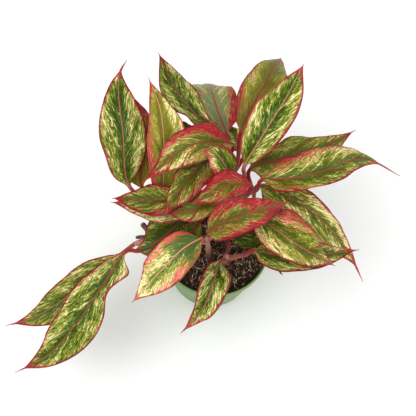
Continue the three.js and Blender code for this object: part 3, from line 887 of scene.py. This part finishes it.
# The section: both halves rise from the midrib, curl over at the margin, and wave along it.
fold_turn = (FOLD_AT_FOOT + FOLD_GROWTH * t).sum("MINIMUM", 1) * math.pi
rise = wires["Fold"] * fold_turn.sum("SINE").sum("MAXIMUM", 0).sum("SQRT")
wave_turn = 2 * math.pi * WAVE_COUNT * t + wires["Phase"] + s
ruffle_turn = 2 * math.pi * RUFFLE_COUNT * t + wires["Phase"] * 2.3 + s * 3
wave = wires["Wave"] * s * s * wave_turn.sum("SINE")
ruffle = RUFFLE * from_rib ** 3 * ruffle_turn.sum("SINE")
veins = VEIN_COUNT * (t - VEIN_SLANT * from_rib ** VEIN_BEND) + 0.5 * on_right
between_veins = (2 * math.pi * veins).sum("COSINE")
quilt = QUILT * between_veins * from_rib.ease(0.05, 0.25) * from_rib.ease(1, 0.75)
height = reach * (from_rib * rise.sum("SINE") - MARGIN_CURL * s * s)
height = height + (wave + ruffle + quilt) * open_share
rib_shape = (-((s * reach / MIDRIB_HALF) ** 2)).sum("EXPONENT") * (1 - t)
thin = BLADE_HALF * (1 - from_rib ** 4).sum("SQRT")
upper = height + thin - rib_shape * MIDRIB_GROOVE
lower = height - thin - rib_shape * MIDRIB_DEPTH
level = blend(is_upper, lower, upper, "FLOAT")
flat_place = right * (s * reach * rise.sum("COSINE")) + up * level

# The stalk: round, swollen where it clasps the cane, and opening into the blade.
swell = STALK_FOOT_SWELL + (1 - STALK_FOOT_SWELL) * down_stalk
swell = swell + CLASP_SWELL * down_stalk.ease(CLASP_SHARE, 0)
stalk_radius = STALK_RADIUS * swell * (1 - 0.4 * t)
groove = 1 - STALK_GROOVE * y.sum("MAXIMUM", 0) ** 2
round_place = up * (y * stalk_radius * groove) - right * (x * stalk_radius)
opened = t.ease(0, STALK_MERGE)
solid = (x * x + y * y).sum("MINIMUM", 1)
section = blend(opened, round_place, flat_place, "VECTOR") * solid

# What the leaf's skin reads is kept on the points before they are moved.
run = (place_share - wires["Stalk"]) * wires["Length"]
leaf_shape = keep(tube, "flat", triple(start, s * reach, run, wires["Seed"]))
leaf_shape = keep(leaf_shape, "place", triple(start, s, t, down_stalk))
leaf_shape = keep(leaf_shape, "edge", triple(start, (1 - from_rib) * reach, is_upper, 0))
for name in LOOKS:
    leaf_shape = keep(leaf_shape, name, wires[name.title()])
bent = {"Geometry": leaf_shape, "Position": centre + section}
leaf_shape = leaf_shape.node("GeometryNodeSetPosition", bent)
leaf_shape = leaf_shape.node("GeometryNodeSetShadeSmooth", {"Geometry": leaf_shape})
leaf_tree = end_recipe(leaf_shape, wires["Material"])

DEEP_GREEN = colour(48, 70, 5)
MID_GREEN = colour(98, 116, 30)
SHEEN_BLUE_GREEN = colour(76, 108, 52)
YELLOW_GREEN = colour(160, 158, 70)
CREAM = colour(246, 228, 168)
OLIVE = colour(146, 120, 44)
CRIMSON = colour(154, 20, 42)
PINK = colour(220, 104, 100)
RUST = colour(150, 74, 42)
PALE_RIB = colour(206, 136, 112)
UNDER_GREEN = colour(122, 136, 80)
STALK_PINK = colour(184, 108, 92)
TIP_BROWN = colour(150, 84, 72)
MAROON = colour(112, 16, 34)
SHEEN_GREY_GREEN = colour(150, 152, 116)

MARGIN_WIDTH = 0.0015
MARGIN_SPREAD = 0.007
MARGIN_AT_TIP = 0.002
MARGIN_FRAY = 0.0016
MIDRIB_LINE = 0.001
HALF_SHIFT = 7


def read_spot(skin):
    """Where a point is on its leaf, and the five vectors by which its leaf says how much of what it shows.

    mottle: how much cream, how much more of it on the right-hand half, how long its marks.
    zones: how far up the blade is plain, how wide the plain green by the midrib, how bright the tip.
    hue: how far the green turns to OLIVE (below 0, how much painted sheen), how bright (partly
    painted light and shade), how wide the red margin.
    blush: how much red, how much more of it on the right-hand half, how far up the blade it lies.
    rib: how pale the midrib, how many red streaks, how brown the tip."""
    spot = SimpleNamespace()
    spot.cream, spot.cream_on_right, spot.mark_length = skin.attribute("mottle").parts()
    spot.plain_foot, spot.plain_middle, spot.bright_tip = skin.attribute("zones").parts()
    spot.olive, spot.brightness, spot.margin_share = skin.attribute("hue").parts()
    spot.red, spot.red_on_right, spot.red_place = skin.attribute("blush").parts()
    spot.pale_rib, spot.red_streaks, spot.brown_tip = skin.attribute("rib").parts()
    sideways, spot.run, leaf_seed = skin.attribute("flat").parts()
    spot.side, spot.t, spot.down_stalk = skin.attribute("place").parts()
    spot.to_margin, spot.is_upper = skin.attribute("edge").parts()[:2]
    spot.from_rib = spot.side.sum("ABSOLUTE")
    spot.rib_distance = sideways.sum("ABSOLUTE")
    spot.on_right = spot.side.sum("GREATER_THAN", 0)
    spot.half_seed = leaf_seed + HALF_SHIFT * spot.on_right
    spot.pinker = spot.pale_rib.ease(0.4, 0.8)
    return spot


def draw_marks(skin, spot):
    """Marks of six sizes, which run outwards and forwards along the side veins, and those veins."""

    def drift(scale):
        """Slow noise from -0.5 to 0.5, by which the veins stray."""
        where = triple(skin.start, spot.run * scale, spot.rib_distance * scale, spot.half_seed)
        return skin.noise(where, 1.0, 1.0) - 0.5

    bend = drift(40)
    v = spot.run - spot.rib_distance * (1.3 + 0.7 * spot.from_rib) + bend * 0.02 + drift(260) * 0.005

    def mark(across_veins, along_veins, detail, roughness, shift):
        """Noise from -0.5 to 0.5, whose marks are so many metres across the side veins and along them."""
        where = triple(skin.start, v / across_veins, spot.rib_distance / along_veins, spot.half_seed + shift)
        return skin.noise(where, 1.0, detail, roughness) - 0.5

    veins = VEIN_COUNT * (spot.t - VEIN_SLANT * spot.from_rib ** VEIN_BEND) + 0.5 * spot.on_right
    veins = veins + bend * 0.3
    return SimpleNamespace(
        speckle=mark(0.0032, 0.0016 * spot.mark_length, 2.0, 0.65, 0.0),
        fleck=mark(0.0068, 0.0046 * spot.mark_length, 1.0, 0.5, 5.0),
        blotch=mark(0.016, 0.013, 2.0, 0.5, 3.0),
        cloud=mark(0.045, 0.024, 1.0, 0.5, 11.0),
        streak=mark(0.0045, 0.03, 1.0, 0.5, 23.0),
        thread=mark(0.0075, 0.0045, 1.0, 0.5, 17.0).sum("ABSOLUTE").ease(0.06, 0.0),
        from_vein=(veins.sum("FRACT") - 0.5).sum("ABSOLUTE"),
    )


def mottled(spot, marks):
    """Yellow and cream over green, thickest away from the midrib, and along the side veins."""
    patches = marks.cloud + 0.5
    level = spot.cream + spot.cream_on_right * spot.side * 0.5 + (spot.from_rib - 0.5) * 0.5
    level = level + marks.blotch * 1.5 + marks.cloud * 1.2 + spot.bright_tip * spot.t.ease(0.5, 0.95)
    level = level - 1.1 * spot.t.ease(spot.plain_foot + 0.1, spot.plain_foot - 0.1)
    by_rib = ((spot.from_rib + marks.blotch * 0.5) / spot.plain_middle).ease(1.3, 0.5)
    vein_line = marks.from_vein.ease(0.06, 0.02) * spot.from_rib.ease(0.95, 0.5) * spot.olive.ease(0.45, 0.1)
    level = level - 0.4 * by_rib + 0.7 * vein_line * patches.ease(0.35, 0.55)
    fine = marks.speckle * 3.0 + marks.fleck * 1.4 + marks.thread * 0.35 - 0.1
    grain = level + fine * (1 - 0.9 * spot.olive.sum("ABSOLUTE"))
    cream_mask = grain.ease(0.8, 1.05)
    green = blend(grain.ease(-0.15, 0.3), DEEP_GREEN, MID_GREEN)
    # Painted sheen: a bluish green in patches over the plain green beside the midrib.
    green = blend(by_rib * patches.ease(0.4, 0.6) * 0.4, green, SHEEN_BLUE_GREEN)
    green = blend(spot.olive * 0.8, green, OLIVE)
    yellow = blend(spot.olive * 0.6, YELLOW_GREEN, OLIVE)
    skin_colour = blend(grain.ease(0.4, 0.62), green, yellow)
    skin_colour = blend(cream_mask, skin_colour, CREAM)
    # Painted sheen: below zero, the first number of hue lays a pale grey-green sheen over the whole blade.
    return blend(-spot.olive, skin_colour, SHEEN_GREY_GREEN), cream_mask


def blushed(spot, marks, skin_colour, cream_mask):
    """Rust round one place on the blade, crimson at its heart, and thin streaks of red."""
    off_place = (spot.t - spot.red_place).sum("ABSOLUTE")
    level = spot.red - off_place * 1.2 + spot.red_on_right * spot.side * 0.6 + (spot.from_rib - 0.5) * 1.1
    level = level + marks.streak * 0.8 + marks.blotch * 1.6 + marks.fleck * 0.9
    has_blush = spot.red.ease(0, 0.1)
    skin_colour = blend(level.ease(0.0, 0.5) * has_blush * 0.45, skin_colour, RUST)
    red_mark = blend(cream_mask * 0.6 + spot.pinker * 0.4, CRIMSON, PINK)
    skin_colour = blend(level.ease(0.45, 0.62) * has_blush * 0.9, skin_colour, red_mark)
    lines = (marks.streak + spot.red_streaks * 0.16 + marks.blotch * 0.3).ease(0.17, 0.22)
    lines = lines * spot.red_streaks.ease(0, 0.1) * spot.from_rib.ease(0.05, 0.2)
    return blend(lines * 0.85, skin_colour, red_mark)


def edged(spot, marks, skin_colour):
    """The red margin, which comes and goes in width and turns from pink to maroon."""
    width = MARGIN_WIDTH + MARGIN_SPREAD * (marks.blotch + marks.streak).sum("MAXIMUM", 0)
    width = (width + MARGIN_AT_TIP * spot.t.ease(0.75, 1)) * spot.margin_share
    margin = ((spot.to_margin + marks.speckle * MARGIN_FRAY) / width).ease(1.3, 0.75)
    paler = (marks.cloud + marks.fleck * 0.5).ease(0.05, 0.3) * 0.8 + spot.pinker * 0.2
    margin_colour = blend(paler, CRIMSON, PINK)
    margin_colour = blend((marks.streak - marks.cloud).ease(0.0, 0.2) * 0.7, margin_colour, MAROON)
    return blend(margin * 0.95, skin_colour, margin_colour)


def leaf_finish():
    """The skin of every leaf: its blade, midrib and tip, then its duller underside and its stalk."""
    skin = Finish("leaf_skin", roughness=0.5, specular=0.12)
    spot = read_spot(skin)
    marks = draw_marks(skin, spot)
    skin_colour, cream_mask = mottled(spot, marks)
    skin_colour = blushed(spot, marks, skin_colour, cream_mask)
    skin_colour = edged(spot, marks, skin_colour)

    rib_half = MIDRIB_LINE * (1 - 0.6 * spot.t)
    rib_line = (spot.rib_distance / rib_half).ease(1.3, 0.75) * spot.t.ease(1.0, 0.9)
    rib_colour = blend(spot.pale_rib, CRIMSON, PALE_RIB)
    skin_colour = blend(rib_line * 0.9, skin_colour, rib_colour)
    dry_tip = (spot.t + marks.streak * 0.1).ease(0.94, 0.99) + spot.brown_tip * spot.t.ease(0.75, 0.95)
    skin_colour = blend(dry_tip.sum("MINIMUM", 1), skin_colour, TIP_BROWN)

    under = 1 - spot.is_upper.ease(0.45, 0.55)
    under_skin = blend(0.55, skin_colour, UNDER_GREEN)
    under_skin = blend(rib_line, under_skin, PINK)
    skin_colour = blend(under, skin_colour, under_skin)

    # The stalk takes on the colour of the midrib as it nears the blade.
    stalk_marks = skin.noise(skin.object_place() * (1, 1, 0.4), 320, 3)
    stalk_colour = blend(spot.pale_rib, CRIMSON, STALK_PINK)
    stalk_colour = blend(spot.down_stalk.ease(0.2, 1.0), STALK_PINK, stalk_colour)
    stalk_colour = blend(stalk_marks.ease(0.45, 0.7) * 0.4, stalk_colour, CANE_BROWN)
    skin_colour = blend(spot.t.ease(0.04, 0.0), skin_colour, stalk_colour)
    # Each leaf's brightness multiplies its whole skin. It is partly the leaf's own tone, partly painted shade
    # on leaves that sit in shadow, and partly painted sheen on a leaf turned to the light.
    skin_colour = blend(1.0, skin_colour, spot.brightness, blend_type="MULTIPLY")

    vein_groove = marks.from_vein.ease(0.12, 0.0)
    skin.paint(Base_Color=skin_colour, Roughness=0.42 + 0.2 * marks.blotch + 0.1 * under)
    skin.emboss(marks.speckle * 0.8 + marks.blotch * 0.6 - vein_groove * 0.5, 0.3, 0.0005)
    return skin.material


leaf_skin = leaf_finish()

# Each leaf by the cane that it grows on. at: how far up the cane, from the mix to its end. side: the
# way in which it stands off, in degrees from +X. blade: points along the midrib, foot to tip. width:
# the blade's at its widest. bank: degrees by which the right-hand edge is lifted. belly: how far along
# the blade it is widest. taper: how slim it is towards the tip. drip: the share that is a bare tip.
# fold: degrees by which each half rises from the midrib. wave, phase: how high the margin waves, and
# where the waves start. uneven: how much wider the right half is. pinch, ear: how much the left half is
# narrowed or lobed near its foot. The looks are as read_spot says. What a leaf leaves out is as usual.

USUAL_LEAF = dict(
    bank=0, belly=0.42, taper=1.35, drip=0.02, fold=12, wave=0.0025, phase=0, uneven=0, pinch=0, ear=0,
    mottle=(0.45, 0, 1), zones=(-0.2, 0.3, 0), hue=(0, 1, 1), blush=(0, 0, 0.5), rib=(0.3, 0, 0),
)
LEAVES = {
    "crown": [
        dict(at=0.95, side=100, width=0.054, bank=6, taper=1.25, drip=0.01, phase=1, uneven=-0.08,
             blade=[(0.022, 0.057, 0.270), (0.038, 0.086, 0.304), (0.059, 0.130, 0.322),
                    (0.080, 0.195, 0.304)],
             mottle=(0.55, 0.05, 2.2), hue=(0, 1, 1.6), rib=(0.7, 0, 0)),
        dict(at=0.90, side=0, width=0.058, bank=12, belly=0.36, taper=1, drip=0.16,
             fold=14, phase=2, uneven=-0.22,
             blade=[(0.046, 0.043, 0.268), (0.086, 0.045, 0.286), (0.122, 0.060, 0.287),
                    (0.153, 0.084, 0.274), (0.186, 0.098, 0.250), (0.228, 0.093, 0.226)],
             mottle=(0.42, -0.4, 1), hue=(0.12, 0.97, 1.4), blush=(0.1, -0.8, 0.1), rib=(0.1, 0.25, 0.8)),
        dict(at=0.75, side=50, width=0.056, belly=0.3, phase=3, pinch=0.3,
             blade=[(0.030, 0.064, 0.242), (0.068, 0.079, 0.261), (0.115, 0.098, 0.264),
                    (0.162, 0.142, 0.243)],
             mottle=(0.38, 0, 1.5), hue=(0.25, 0.88, 0.9), blush=(0.3, 0, 0), rib=(0, 0.2, 0)),
        dict(at=0.58, side=10, width=0.055, belly=0.36, taper=1.1, drip=0.1, phase=4, uneven=0.24,
             blade=[(0.044, 0.051, 0.228), (0.098, 0.030, 0.242), (0.137, 0.011, 0.228),
                    (0.160, 0.001, 0.202), (0.180, -0.011, 0.182), (0.202, -0.036, 0.158)],
             mottle=(0.7, 0, 1.5), zones=(-0.2, 0.3, 0.3), hue=(0.1, 1.06, 1.6), blush=(0.15, 0.5, 0.6),
             rib=(0.2, 0.1, 0.3)),
        dict(at=0.80, side=-50, width=0.062, belly=0.36, fold=14, phase=5, uneven=-0.1,
             blade=[(0.048, 0.002, 0.252), (0.079, -0.025, 0.270), (0.115, -0.039, 0.260),
                    (0.154, -0.042, 0.226)],
             mottle=(0.6, 0.1, 1), hue=(0.15, 1.04, 1.2), blush=(0.2, -0.7, 0.2), rib=(0.35, 0.15, 0.2)),
        dict(at=0.97, side=-70, width=0.040, fold=14, phase=0,
             blade=[(0.035, 0.035, 0.264), (0.009, 0.026, 0.284), (-0.013, 0.010, 0.285),
                    (-0.038, -0.001, 0.266)],
             mottle=(0.5, 0, 1), hue=(0.2, 0.92, 1.5), blush=(0.9, 0.3, 0.15), rib=(0.1, 0.4, 0.2)),
        dict(at=0.84, side=170, width=0.038, belly=0.5, phase=1,
             blade=[(0.008, 0.039, 0.248), (0.000, 0.049, 0.277), (-0.015, 0.058, 0.296),
                    (-0.035, 0.066, 0.290)],
             mottle=(0.42, 0, 1), hue=(0.1, 0.98, 1.8), rib=(0.6, 0, 0)),
        dict(at=0.68, side=215, width=0.036, phase=2,
             blade=[(0.003, 0.026, 0.244), (-0.018, 0.009, 0.252), (-0.040, -0.005, 0.250),
                    (-0.069, -0.008, 0.237)],
             mottle=(0.35, 0, 1), hue=(0.35, 0.85, 1.3), rib=(0.1, 0.3, 0)),
    ],
    "back": [
        dict(at=0.95, side=90, width=0.057, belly=0.37, taper=1.6, fold=24, phase=3, uneven=-0.08,
             blade=[(0.005, 0.090, 0.254), (-0.022, 0.084, 0.272), (-0.056, 0.067, 0.277),
                    (-0.102, 0.021, 0.258)],
             mottle=(0.5, 0, 1), hue=(0.2, 1.0, 1.5), blush=(0.65, 0.7, 0.1), rib=(0, 0.4, 0)),
        dict(at=0.80, side=50, width=0.055, belly=0.38, taper=1.2, phase=4,
             blade=[(0.012, 0.106, 0.258), (0.021, 0.132, 0.276), (0.035, 0.173, 0.276),
                    (0.047, 0.219, 0.250), (0.056, 0.249, 0.214)],
             mottle=(0.3, -0.2, 1.5), hue=(0.45, 0.9, 1.1), blush=(0.2, -0.3, 0.1), rib=(0, 0.2, 0)),
        dict(at=0.60, side=100, width=0.068, bank=-10, belly=0.32, fold=6, wave=0.005, phase=5,
             blade=[(-0.005, 0.113, 0.232), (-0.020, 0.138, 0.247), (-0.032, 0.171, 0.237),
                    (-0.039, 0.200, 0.201), (-0.043, 0.222, 0.157)],
             mottle=(0.35, 0, 0.8), hue=(-0.4, 1.15, 0.5), blush=(0.45, 0.3, 0.1), rib=(0, 0.3, 0)),
        dict(at=0.82, side=130, width=0.044, phase=0, pinch=0.4,
             blade=[(-0.025, 0.114, 0.253), (-0.044, 0.119, 0.263), (-0.075, 0.149, 0.265),
                    (-0.110, 0.209, 0.255)],
             mottle=(0.42, 0.3, 1), hue=(0, 0.7, 1), rib=(0.15, 0, 0)),
        dict(at=0.75, side=200, width=0.052, bank=-24, phase=1, uneven=-0.1,
             blade=[(-0.019, 0.071, 0.247), (-0.039, 0.043, 0.258), (-0.055, 0.016, 0.258),
                    (-0.072, -0.014, 0.246)],
             mottle=(0.42, 0, 1.3), hue=(0.2, 0.83, 1.5), blush=(0.3, -0.4, 0.3), rib=(0, 0.4, 0)),
        dict(at=0.45, side=60, width=0.032, phase=2,
             blade=[(0.022, 0.102, 0.212), (0.010, 0.116, 0.220), (-0.004, 0.138, 0.216)],
             mottle=(0.25, 0, 1), hue=(0, 1.05, 0.8), rib=(0, 0, 0)),
        dict(at=0.50, side=130, width=0.022, phase=3,
             blade=[(-0.046, 0.109, 0.222), (-0.061, 0.114, 0.230), (-0.080, 0.126, 0.228)],
             mottle=(0, 0, 1), hue=(0, 0.5, 0.8), rib=(0, 0, 0)),
    ],
    "left": [
        dict(at=0.40, side=170, width=0.063, belly=0.43, drip=0.1, phase=2, pinch=0.12,
             blade=[(-0.120, 0.035, 0.194), (-0.138, 0.089, 0.249), (-0.153, 0.148, 0.262),
                    (-0.154, 0.175, 0.256), (-0.149, 0.195, 0.248)],
             mottle=(0.43, -0.1, 1.4), hue=(0, 0.88, 1.6), rib=(0.5, 0, 0)),
        dict(at=0.50, side=90, width=0.060, belly=0.56, taper=0.9, phase=3, ear=0.007,
             blade=[(-0.104, 0.042, 0.178), (-0.112, 0.068, 0.200), (-0.129, 0.111, 0.214),
                    (-0.152, 0.171, 0.206)],
             mottle=(0.4, 0, 1), hue=(0.7, 1.0, 1.2), blush=(0.4, 0, 0.8), rib=(0, 0.3, 0)),
        dict(at=0.62, side=150, width=0.057, bank=-20, phase=4, uneven=0.17, ear=0.004,
             blade=[(-0.076, 0.031, 0.190), (-0.078, 0.041, 0.219), (-0.082, 0.073, 0.253),
                    (-0.093, 0.114, 0.280), (-0.116, 0.163, 0.270)],
             mottle=(0.6, 0.3, 1), hue=(0.45, 1.18, 1.2), blush=(0.45, -0.5, 0.1), rib=(0.9, 0, 0)),
        dict(at=0.95, side=140, width=0.044, fold=10, phase=5,
             blade=[(-0.038, 0.022, 0.222), (-0.072, 0.013, 0.229), (-0.106, 0.011, 0.224),
                    (-0.142, 0.014, 0.205)],
             mottle=(0.4, 0, 1), hue=(0.12, 0.94, 2), blush=(0.35, 0, 0.2), rib=(0, 0.2, 0)),
        dict(at=0.80, side=200, width=0.040, belly=0.37, phase=0, uneven=0.1,
             blade=[(-0.044, 0.014, 0.198), (-0.066, 0.005, 0.211), (-0.104, 0.010, 0.203),
                    (-0.145, 0.016, 0.184)],
             mottle=(0.55, 0, 1), hue=(0.1, 0.98, 1), rib=(0.2, 0.2, 0)),
        dict(at=0.60, side=230, width=0.058, phase=1,
             blade=[(-0.046, 0.008, 0.180), (-0.063, -0.018, 0.192), (-0.083, -0.039, 0.193),
                    (-0.105, -0.047, 0.187)],
             mottle=(0.1, 0, 1), hue=(0.1, 0.68, 1.2), rib=(0.2, 0, 0)),
        dict(at=0.70, side=290, width=0.030, phase=2,
             blade=[(-0.024, 0.010, 0.178), (-0.029, 0.000, 0.178), (-0.038, -0.014, 0.164),
                    (-0.049, -0.028, 0.146)],
             mottle=(0.1, 0, 1), hue=(0.3, 0.78, 0.6), rib=(0, 0, 0)),
    ],
    "front": [
        dict(at=0.97, side=20, width=0.050, belly=0.36, fold=18, phase=3,
             blade=[(-0.011, -0.030, 0.247), (0.008, -0.023, 0.282), (0.041, -0.012, 0.300),
                    (0.085, 0.018, 0.274)],
             mottle=(0.46, 0, 1), hue=(0.25, 0.93, 1.8), blush=(0.9, -0.3, 0.8), rib=(0.1, 0.5, 0.7)),
        dict(at=0.90, side=220, width=0.055, belly=0.38, phase=4,
             blade=[(-0.018, -0.035, 0.240), (-0.038, -0.054, 0.252), (-0.064, -0.083, 0.232),
                    (-0.096, -0.114, 0.176)],
             mottle=(0.9, 0, 1), zones=(0.3, 0.3, 0.3), hue=(-0.1, 1.29, 1.1), blush=(0.3, 0, 0.45),
             rib=(0.8, 0, 0)),
    ],
    "right": [
        dict(at=0.75, side=250, width=0.039, belly=0.36, taper=1.2, drip=0.05, phase=5, uneven=-0.1,
             blade=[(0.010, -0.035, 0.157), (0.005, -0.073, 0.180), (-0.003, -0.103, 0.166),
                    (-0.015, -0.119, 0.146), (-0.029, -0.134, 0.128)],
             mottle=(0.55, -0.1, 1), hue=(0, 1.02, 1.6), rib=(0.5, 0, 0.2)),
        dict(at=0.90, side=0, width=0.044, belly=0.36, fold=14, phase=0,
             blade=[(0.049, -0.033, 0.213), (0.089, -0.040, 0.232), (0.139, -0.030, 0.232),
                    (0.185, -0.011, 0.212)],
             mottle=(0.38, 0, 1), hue=(0.1, 0.85, 1.1), rib=(0.2, 0, 0)),
        dict(at=0.70, side=90, width=0.044, phase=1,
             blade=[(0.018, -0.007, 0.170), (0.039, -0.002, 0.184), (0.061, 0.009, 0.186),
                    (0.088, 0.020, 0.176)],
             mottle=(0.0, 0, 1), hue=(0, 0.6, 0.6), rib=(0.1, 0, 0)),
        dict(at=0.35, side=10, width=0.018, drip=0.1, phase=4,
             blade=[(0.058, -0.017, 0.162), (0.070, -0.027, 0.172), (0.083, -0.036, 0.172),
                    (0.095, -0.043, 0.158)],
             mottle=(0.2, 0, 1), hue=(0.1, 0.85, 1.5), rib=(0.2, 0, 0.5)),
    ],
    "trailing": [
        dict(at=0.92, side=250, width=0.064, belly=0.46, taper=1.1, drip=0.06, wave=0.004,
             phase=2, pinch=0.6, ear=0.009,
             blade=[(-0.113, -0.048, 0.184), (-0.140, -0.103, 0.174), (-0.167, -0.149, 0.148),
                    (-0.200, -0.186, 0.116), (-0.240, -0.210, 0.094)],
             mottle=(0.47, 0, 1), hue=(0, 0.93, 1.5), rib=(0.15, 0, 0.3)),
        dict(at=0.86, side=210, width=0.053, belly=0.46, drip=0.05, phase=3, uneven=-0.08,
             blade=[(-0.117, -0.045, 0.170), (-0.152, -0.078, 0.163), (-0.192, -0.116, 0.138),
                    (-0.227, -0.139, 0.120), (-0.263, -0.151, 0.104)],
             mottle=(0.41, 0, 1.5), hue=(0.05, 0.92, 1.4), rib=(0.4, 0, 0.2)),
    ],
}


def leaf_path(name, cane, at, side, blade, bank):
    """The line from inside the cane along stalk and midrib, with its sides, stalk share and length."""
    line = cane_lines[cane]
    buried = PLANTING_DEPTH / line.length
    share = buried + (1 - buried) * at
    axis = line.heading(share)
    outward = across(axis, Vector((math.cos(math.radians(side)), math.sin(math.radians(side)), 0)))
    radius = CANES[cane]["radius"] * (1 + (CANE_TAPER - 1) * share * share)
    foot = line.at(share) + outward * (radius * SCAR_RING + STALK_STANDS_OFF)
    first = Vector(blade[0])
    reach = STALK_REACH * (first - foot).length
    middle = foot + outward * reach * STALK_LEAN + axis * reach
    leaf_line = Line([foot, middle, *blade])
    stalk = leaf_line.lengths[STALK_STRETCHES * Line.STEPS]
    heading = Vector(blade[-1]) - first
    flat_side = Vector((heading.y, -heading.x, 0))
    places, sides = [], []
    shares = [k / (PATH_POINTS - 1) for k in range(PATH_POINTS)]
    for share in reversed(shares):
        forward = leaf_line.heading(share)
        on_blade = share * leaf_line.length >= stalk
        if on_blade:
            sideways = Matrix.Rotation(math.radians(-bank), 3, forward) @ across(forward, flat_side)
        else:
            sideways = across(forward, sideways)
        places.insert(0, leaf_line.at(share))
        sides.insert(0, sideways)
    clasp = outward * (radius * CLASP_DEPTH)
    places.insert(0, foot - clasp)
    sides.insert(0, sides[0])
    length = leaf_line.length + clasp.length
    return path_mesh(name + "_path", places, sides), (stalk + clasp.length) / length, length


seed = 0
for cane, rows in LEAVES.items():
    for number, row in enumerate(rows, 1):
        seed += 1
        name = f"{cane}_leaf_{number}"
        leaf = {**USUAL_LEAF, **row}
        path, stalk, length = leaf_path(name, cane, leaf["at"], leaf["side"], leaf["blade"], leaf["bank"])
        values = {key: leaf[key] for key in (*FORMS, *LOOKS)}
        piece = cook(
            name + "_grown", path, leaf_tree, stalk=stalk, length=length, fold=math.radians(leaf["fold"]),
            seed=seed * LEAF_SEED_STEP, material=leaf_skin, **values,
        )
        place_piece(piece, "leaf", name)

# ---- The object's size ----
# The corners of the imported solids' box, and those of the dressed plant's box, which lies close to it.

bpy.context.view_layer.update()
sizes = {"cad": [list(corner) for corner in cad_box], "visual": [list(corner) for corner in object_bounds()]}
